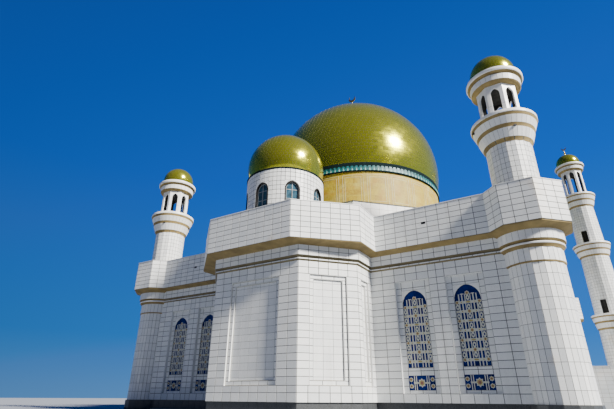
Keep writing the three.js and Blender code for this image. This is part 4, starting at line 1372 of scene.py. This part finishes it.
def build_bay_dome():
    centre = middle_of("bay_dome")
    radius, foot, top = BAY_DRUM["radius"], BAY_DRUM["foot"], BAY_DRUM["top"]
    outer = radius / cos(pi / BAY_DRUM["sides"]) + 0.002
    surface = drum_surface(centre, lambda z: outer, outer)
    shape = Shape("bay_drum_slabs", "marble", MARBLE)
    glass = Shape("bay_drum_windows", "teal_glass", TEAL_GLASS)
    half = DRUM_FRAME_AND_SHADE["half"]
    sector = pi * outer / 8
    rows = even(foot, top, BAY_DRUM["course"])
    for i in range(8):
        middle = i * 2 * sector
        field = (middle + half, middle + 2 * sector - half, foot, top)
        slabs(shape, surface, field, columns=4, rows=rows, bend=2)
        for low, high in ((foot, DRUM_FRAME_AND_SHADE["foot"]), (DRUM_FRAME_AND_SHADE["apex"], top)):
            inside = within(rows, low, high)
            slabs(shape, surface, (middle - half, middle + half, low, high), columns=3, rows=inside)
        for corner in spandrels(DRUM_FRAME_AND_SHADE, middle):
            shape.add(*prism(surface, corner, -SEAT, PROUD))
        drum_window(shape, glass, surface, middle)
    eaves = [(r, top + z) for r, z in EAVES]
    shape.add(*ring(centre, eaves, BAY_DOME["sides"]), DARK_TILE)
    kerb = upright_loop(BAY_KERB["inner"], BAY_KERB["apothem"] / cos(pi / 8), ROOF_TOP, foot + 0.02)
    shape.add(*ring(centre, kerb, *OCTAGON), RENDER)
    shape.done()
    glass.done()
    gilt_dome("bay_dome_looks", centre, BAY_DOME, top, "bay_dome")


def drum_window(shape, glass, surface, middle):
    """A dark ring that is partly a frame and partly painted shade of the reveal, a black reveal as painted
    shade, grey bars and a teal pane.
    """
    half, foot, apex = DRUM_WINDOW["half"], DRUM_WINDOW["foot"], DRUM_WINDOW["apex"]
    outline = arch(DRUM_WINDOW, middle)
    # The ring: a dark frame and painted shade of the reveal
    shape.add(*hoop(surface, arch(DRUM_FRAME_AND_SHADE, middle, inset=0.01), outline, -SEAT, 0.003), DARK_AND_SHADE)
    inner = arch(DRUM_WINDOW, middle, inset=LINING)
    # The reveal in black: painted shade
    shape.add(*hoop(surface, outline, inner, -0.3, 0.003), BLACK_METAL_AND_SHADE)
    shape.add(*hoop(surface, inner, arch(DRUM_WINDOW, middle, inset=0.05), -0.24, -0.17), FRAME_PAINT)
    glass.add(*prism(surface, arch(DRUM_WINDOW, middle, inset=0.04), -0.22, -0.2))
    bars = [strip(middle, 0.022, foot + 0.05, apex - 0.06)]
    bars += [rectangle(middle - half + 0.05, middle + half - 0.05, *levels) for levels in DRUM_BARS]
    for bar in bars:
        shape.add(*prism(surface, bar, -0.21, -0.17), FRAME_PAINT)


def build_main_dome():
    centre = (0.0, 0.0)
    low, high = real_box("dome_base")
    base = Shape("dome_base_slabs", "marble", MARBLE_PLAIN)
    corner = high.x / cos(pi / 8)
    for surface, half in each_side(octagon(centre, corner)):
        field = (-half, half, ROOF_TOP, high.z)
        rows = even(ROOF_TOP, high.z, BASE_SLABS["course"])
        slabs(base, surface, field, columns=BASE_SLABS["columns"], rows=rows, joint=FINE_JOINT)
    lip = upright_loop(corner - 1.4, corner + 0.05, high.z, high.z + 0.06)
    lip[-1] = (corner + 0.05, high.z - 0.03)
    base.add(*ring(centre, lip, *OCTAGON), GROUT)
    base.done()
    build_drum(centre)
    foot = real_box("main_dome")[0].z
    gilt_dome("main_dome_looks", centre, DOME, foot, "main_dome")
    tip = DOME["centre"] + DOME["radius"]
    finial("main_finial_looks", centre, tip, DOME_FINIAL, DOME_HORNS, ["main_dome_finial"])


def bent_rectangle(left, right, low, high, steps):
    along = [left + (right - left) * i / steps for i in range(steps + 1)]
    return [(u, low) for u in along] + [(u, high) for u in along[::-1]]


def build_drum(centre):
    """The mosaic drum with its framed fields, and the tiled band with its two rows of teeth."""
    low, high = real_box("dome_drum")
    radius, inner = DRUM["radius"], DRUM["inner"]
    drum = Shape("mosaic_drum", "mosaic", MOSAIC)
    drum.add(*ring(centre, upright_loop(inner, radius, low.z, high.z), DOME["sides"]))
    surface = drum_surface(centre, lambda z: radius, radius)
    pitch = 2 * pi * radius / DRUM["fields"]
    for i in range(DRUM["fields"]):
        for inset in FRAME_INSETS:
            left, right = i * pitch + inset, (i + 1) * pitch - inset
            floor, ceiling = low.z + FRAME_FOOT + inset, high.z - FRAME_HEAD - inset
            outer, inside = (
                bent_rectangle(left + by, right - by, floor + by, ceiling - by, 5)
                for by in (0.0, FRAME_WIDTH)
            )
            drum.add(*hoop(surface, outer, inside, -SEAT, 0.015), PALE_MOSAIC)
    drum.done(["dome_drum"])
    low, high = real_box("dome_band")
    radius = DRUM["band"]
    band = Shape("tiled_band", "turquoise_tile", TURQUOISE)
    band.add(*ring(centre, upright_loop(inner, radius, low.z, high.z), DOME["sides"]))
    dusk = upright_loop(radius - 0.1, radius + 0.015, high.z - 0.36, high.z)
    band.add(*ring(centre, dusk, DOME["sides"]), DARK_TILE)
    surface = drum_surface(centre, lambda z: radius, radius)
    pitch = 2 * pi * radius / TEETH
    for i in range(TEETH):
        left, middle = i * pitch, (i + 0.5) * pitch
        for tooth, u, level, lift, paint in (
            (HANGING_TOOTH, left, high.z, 0.02, DARK_TILE),
            (STANDING_TOOTH, middle, low.z, 0.03, WHITE_TILE),
            (BLADE, left + 0.02, low.z, 0.025, AQUA_TILE),
            (BLADE, middle + 0.1, low.z, 0.025, AQUA_TILE),
        ):
            outline = [(u + along, level + up) for along, up in tooth]
            band.add(*prism(surface, outline, -SEAT, lift), paint)
    foot = [
        (radius - 0.1, low.z - 0.02), (radius - 0.1, low.z + 0.12), (radius + 0.03, low.z + 0.1),
        (radius + 0.03, low.z - 0.02),
    ]
    band.add(*ring(centre, foot, DOME["sides"]), DARK_TILE)
    band.done(["dome_band"])


# Bare solids that stay in view, mostly as the dark bed behind the slabs

def paint_solids():
    paints = {"concrete": ROOFING, "blue_glass": BLUE_GLASS, "teal_glass": TEAL_GLASS, "door_wood": DOOR_WOOD}
    slots = {part["node"]: part["material_slot"] for part in frame["record"]["subparts"]}
    for node, piece in frame["nodes"].items():
        paint = RENDER if node in ("dome_base", "minaret_annex") else paints.get(slots[node], GROUT)
        piece.data.materials.clear()
        piece.data.materials.append(paint)


# The studio: a light grey floor, a soft key from the right and a blue backdrop, brighter behind the building

def build_studio():
    half = FLOOR_HALF
    mesh = bpy.data.meshes.new("floor")
    corners = [(-half, -half, 0), (half, -half, 0), (half, half, 0), (-half, half, 0)]
    mesh.from_pydata(corners, [], [(0, 1, 2, 3)])
    mesh.materials.append(FLOOR)
    floor = bpy.data.objects.new("floor", mesh)
    floor.location.z = -FLOOR_DROP
    bpy.context.scene.collection.objects.link(floor)
    key = bpy.data.lights.new("key", "SUN")
    key.energy = KEY_ENERGY
    key.angle = radians(KEY_SPREAD)
    key.color = KEY_COLOUR
    sun = bpy.data.objects.new("key", key)
    sun.rotation_euler = Vector(KEY_FROM).to_track_quat("Z", "Y").to_euler()
    bpy.context.scene.collection.objects.link(sun)
    world = bpy.data.worlds.new("world")
    bpy.context.scene.world = world
    world.use_nodes = True
    tree = world.node_tree
    place = tree.nodes.new("ShaderNodeTexCoord")
    split = tree.nodes.new("ShaderNodeSeparateXYZ")
    ramp = tree.nodes.new("ShaderNodeValToRGB")
    tree.links.new(place.outputs["Generated"], split.inputs[0])
    tree.links.new(split.outputs["Z"], ramp.inputs[0])
    tree.links.new(ramp.outputs[0], tree.nodes["Background"].inputs[0])
    stops = ramp.color_ramp.elements
    while len(stops) < len(SKY):
        stops.new(0.5)
    for stop, (position, colour) in zip(stops, SKY):
        stop.position = position
        stop.color = (*colour, 1)
    strength = tree.nodes.new("ShaderNodeMath")
    strength.operation = "MULTIPLY_ADD"
    tree.links.new(split.outputs["Y"], strength.inputs[0])
    strength.inputs[1].default_value = SKY_STRENGTH["swing"]
    strength.inputs[2].default_value = SKY_STRENGTH["middle"]
    tree.links.new(strength.outputs[0], tree.nodes["Background"].inputs[1])


def build_camera():
    """The photograph's viewpoint, in model metres: the lens looks up, turned left of the rear facade."""
    yaw, pitch, roll = (radians(a) for a in CAMERA["turns"])
    look = Vector((-sin(yaw) * cos(pitch), cos(yaw) * cos(pitch), sin(pitch)))
    level = Vector((cos(yaw), sin(yaw), 0))
    above = level.cross(look)
    right = cos(roll) * level + sin(roll) * above
    up = cos(roll) * above - sin(roll) * level
    camera = bpy.data.objects.new("camera", bpy.data.cameras.new("camera"))
    bpy.context.scene.collection.objects.link(camera)
    camera.matrix_world = Matrix((right, up, -look)).transposed().to_4x4()
    camera.location = CAMERA["place"]
    camera.data.lens = CAMERA["lens"]
    camera.data.sensor_width = CAMERA["sensor"]
    camera.data.clip_end = CAMERA_REACH
    bpy.context.scene.camera = camera


build_camera()
build_studio()
paint_solids()
build_facades()
build_parapet_drains()
build_doors()
for tower_name, tower_centre in TOWERS.items():
    build_tower(tower_name, tower_centre)
build_tall_minaret()
build_annex()
build_bay_dome()
build_main_dome()
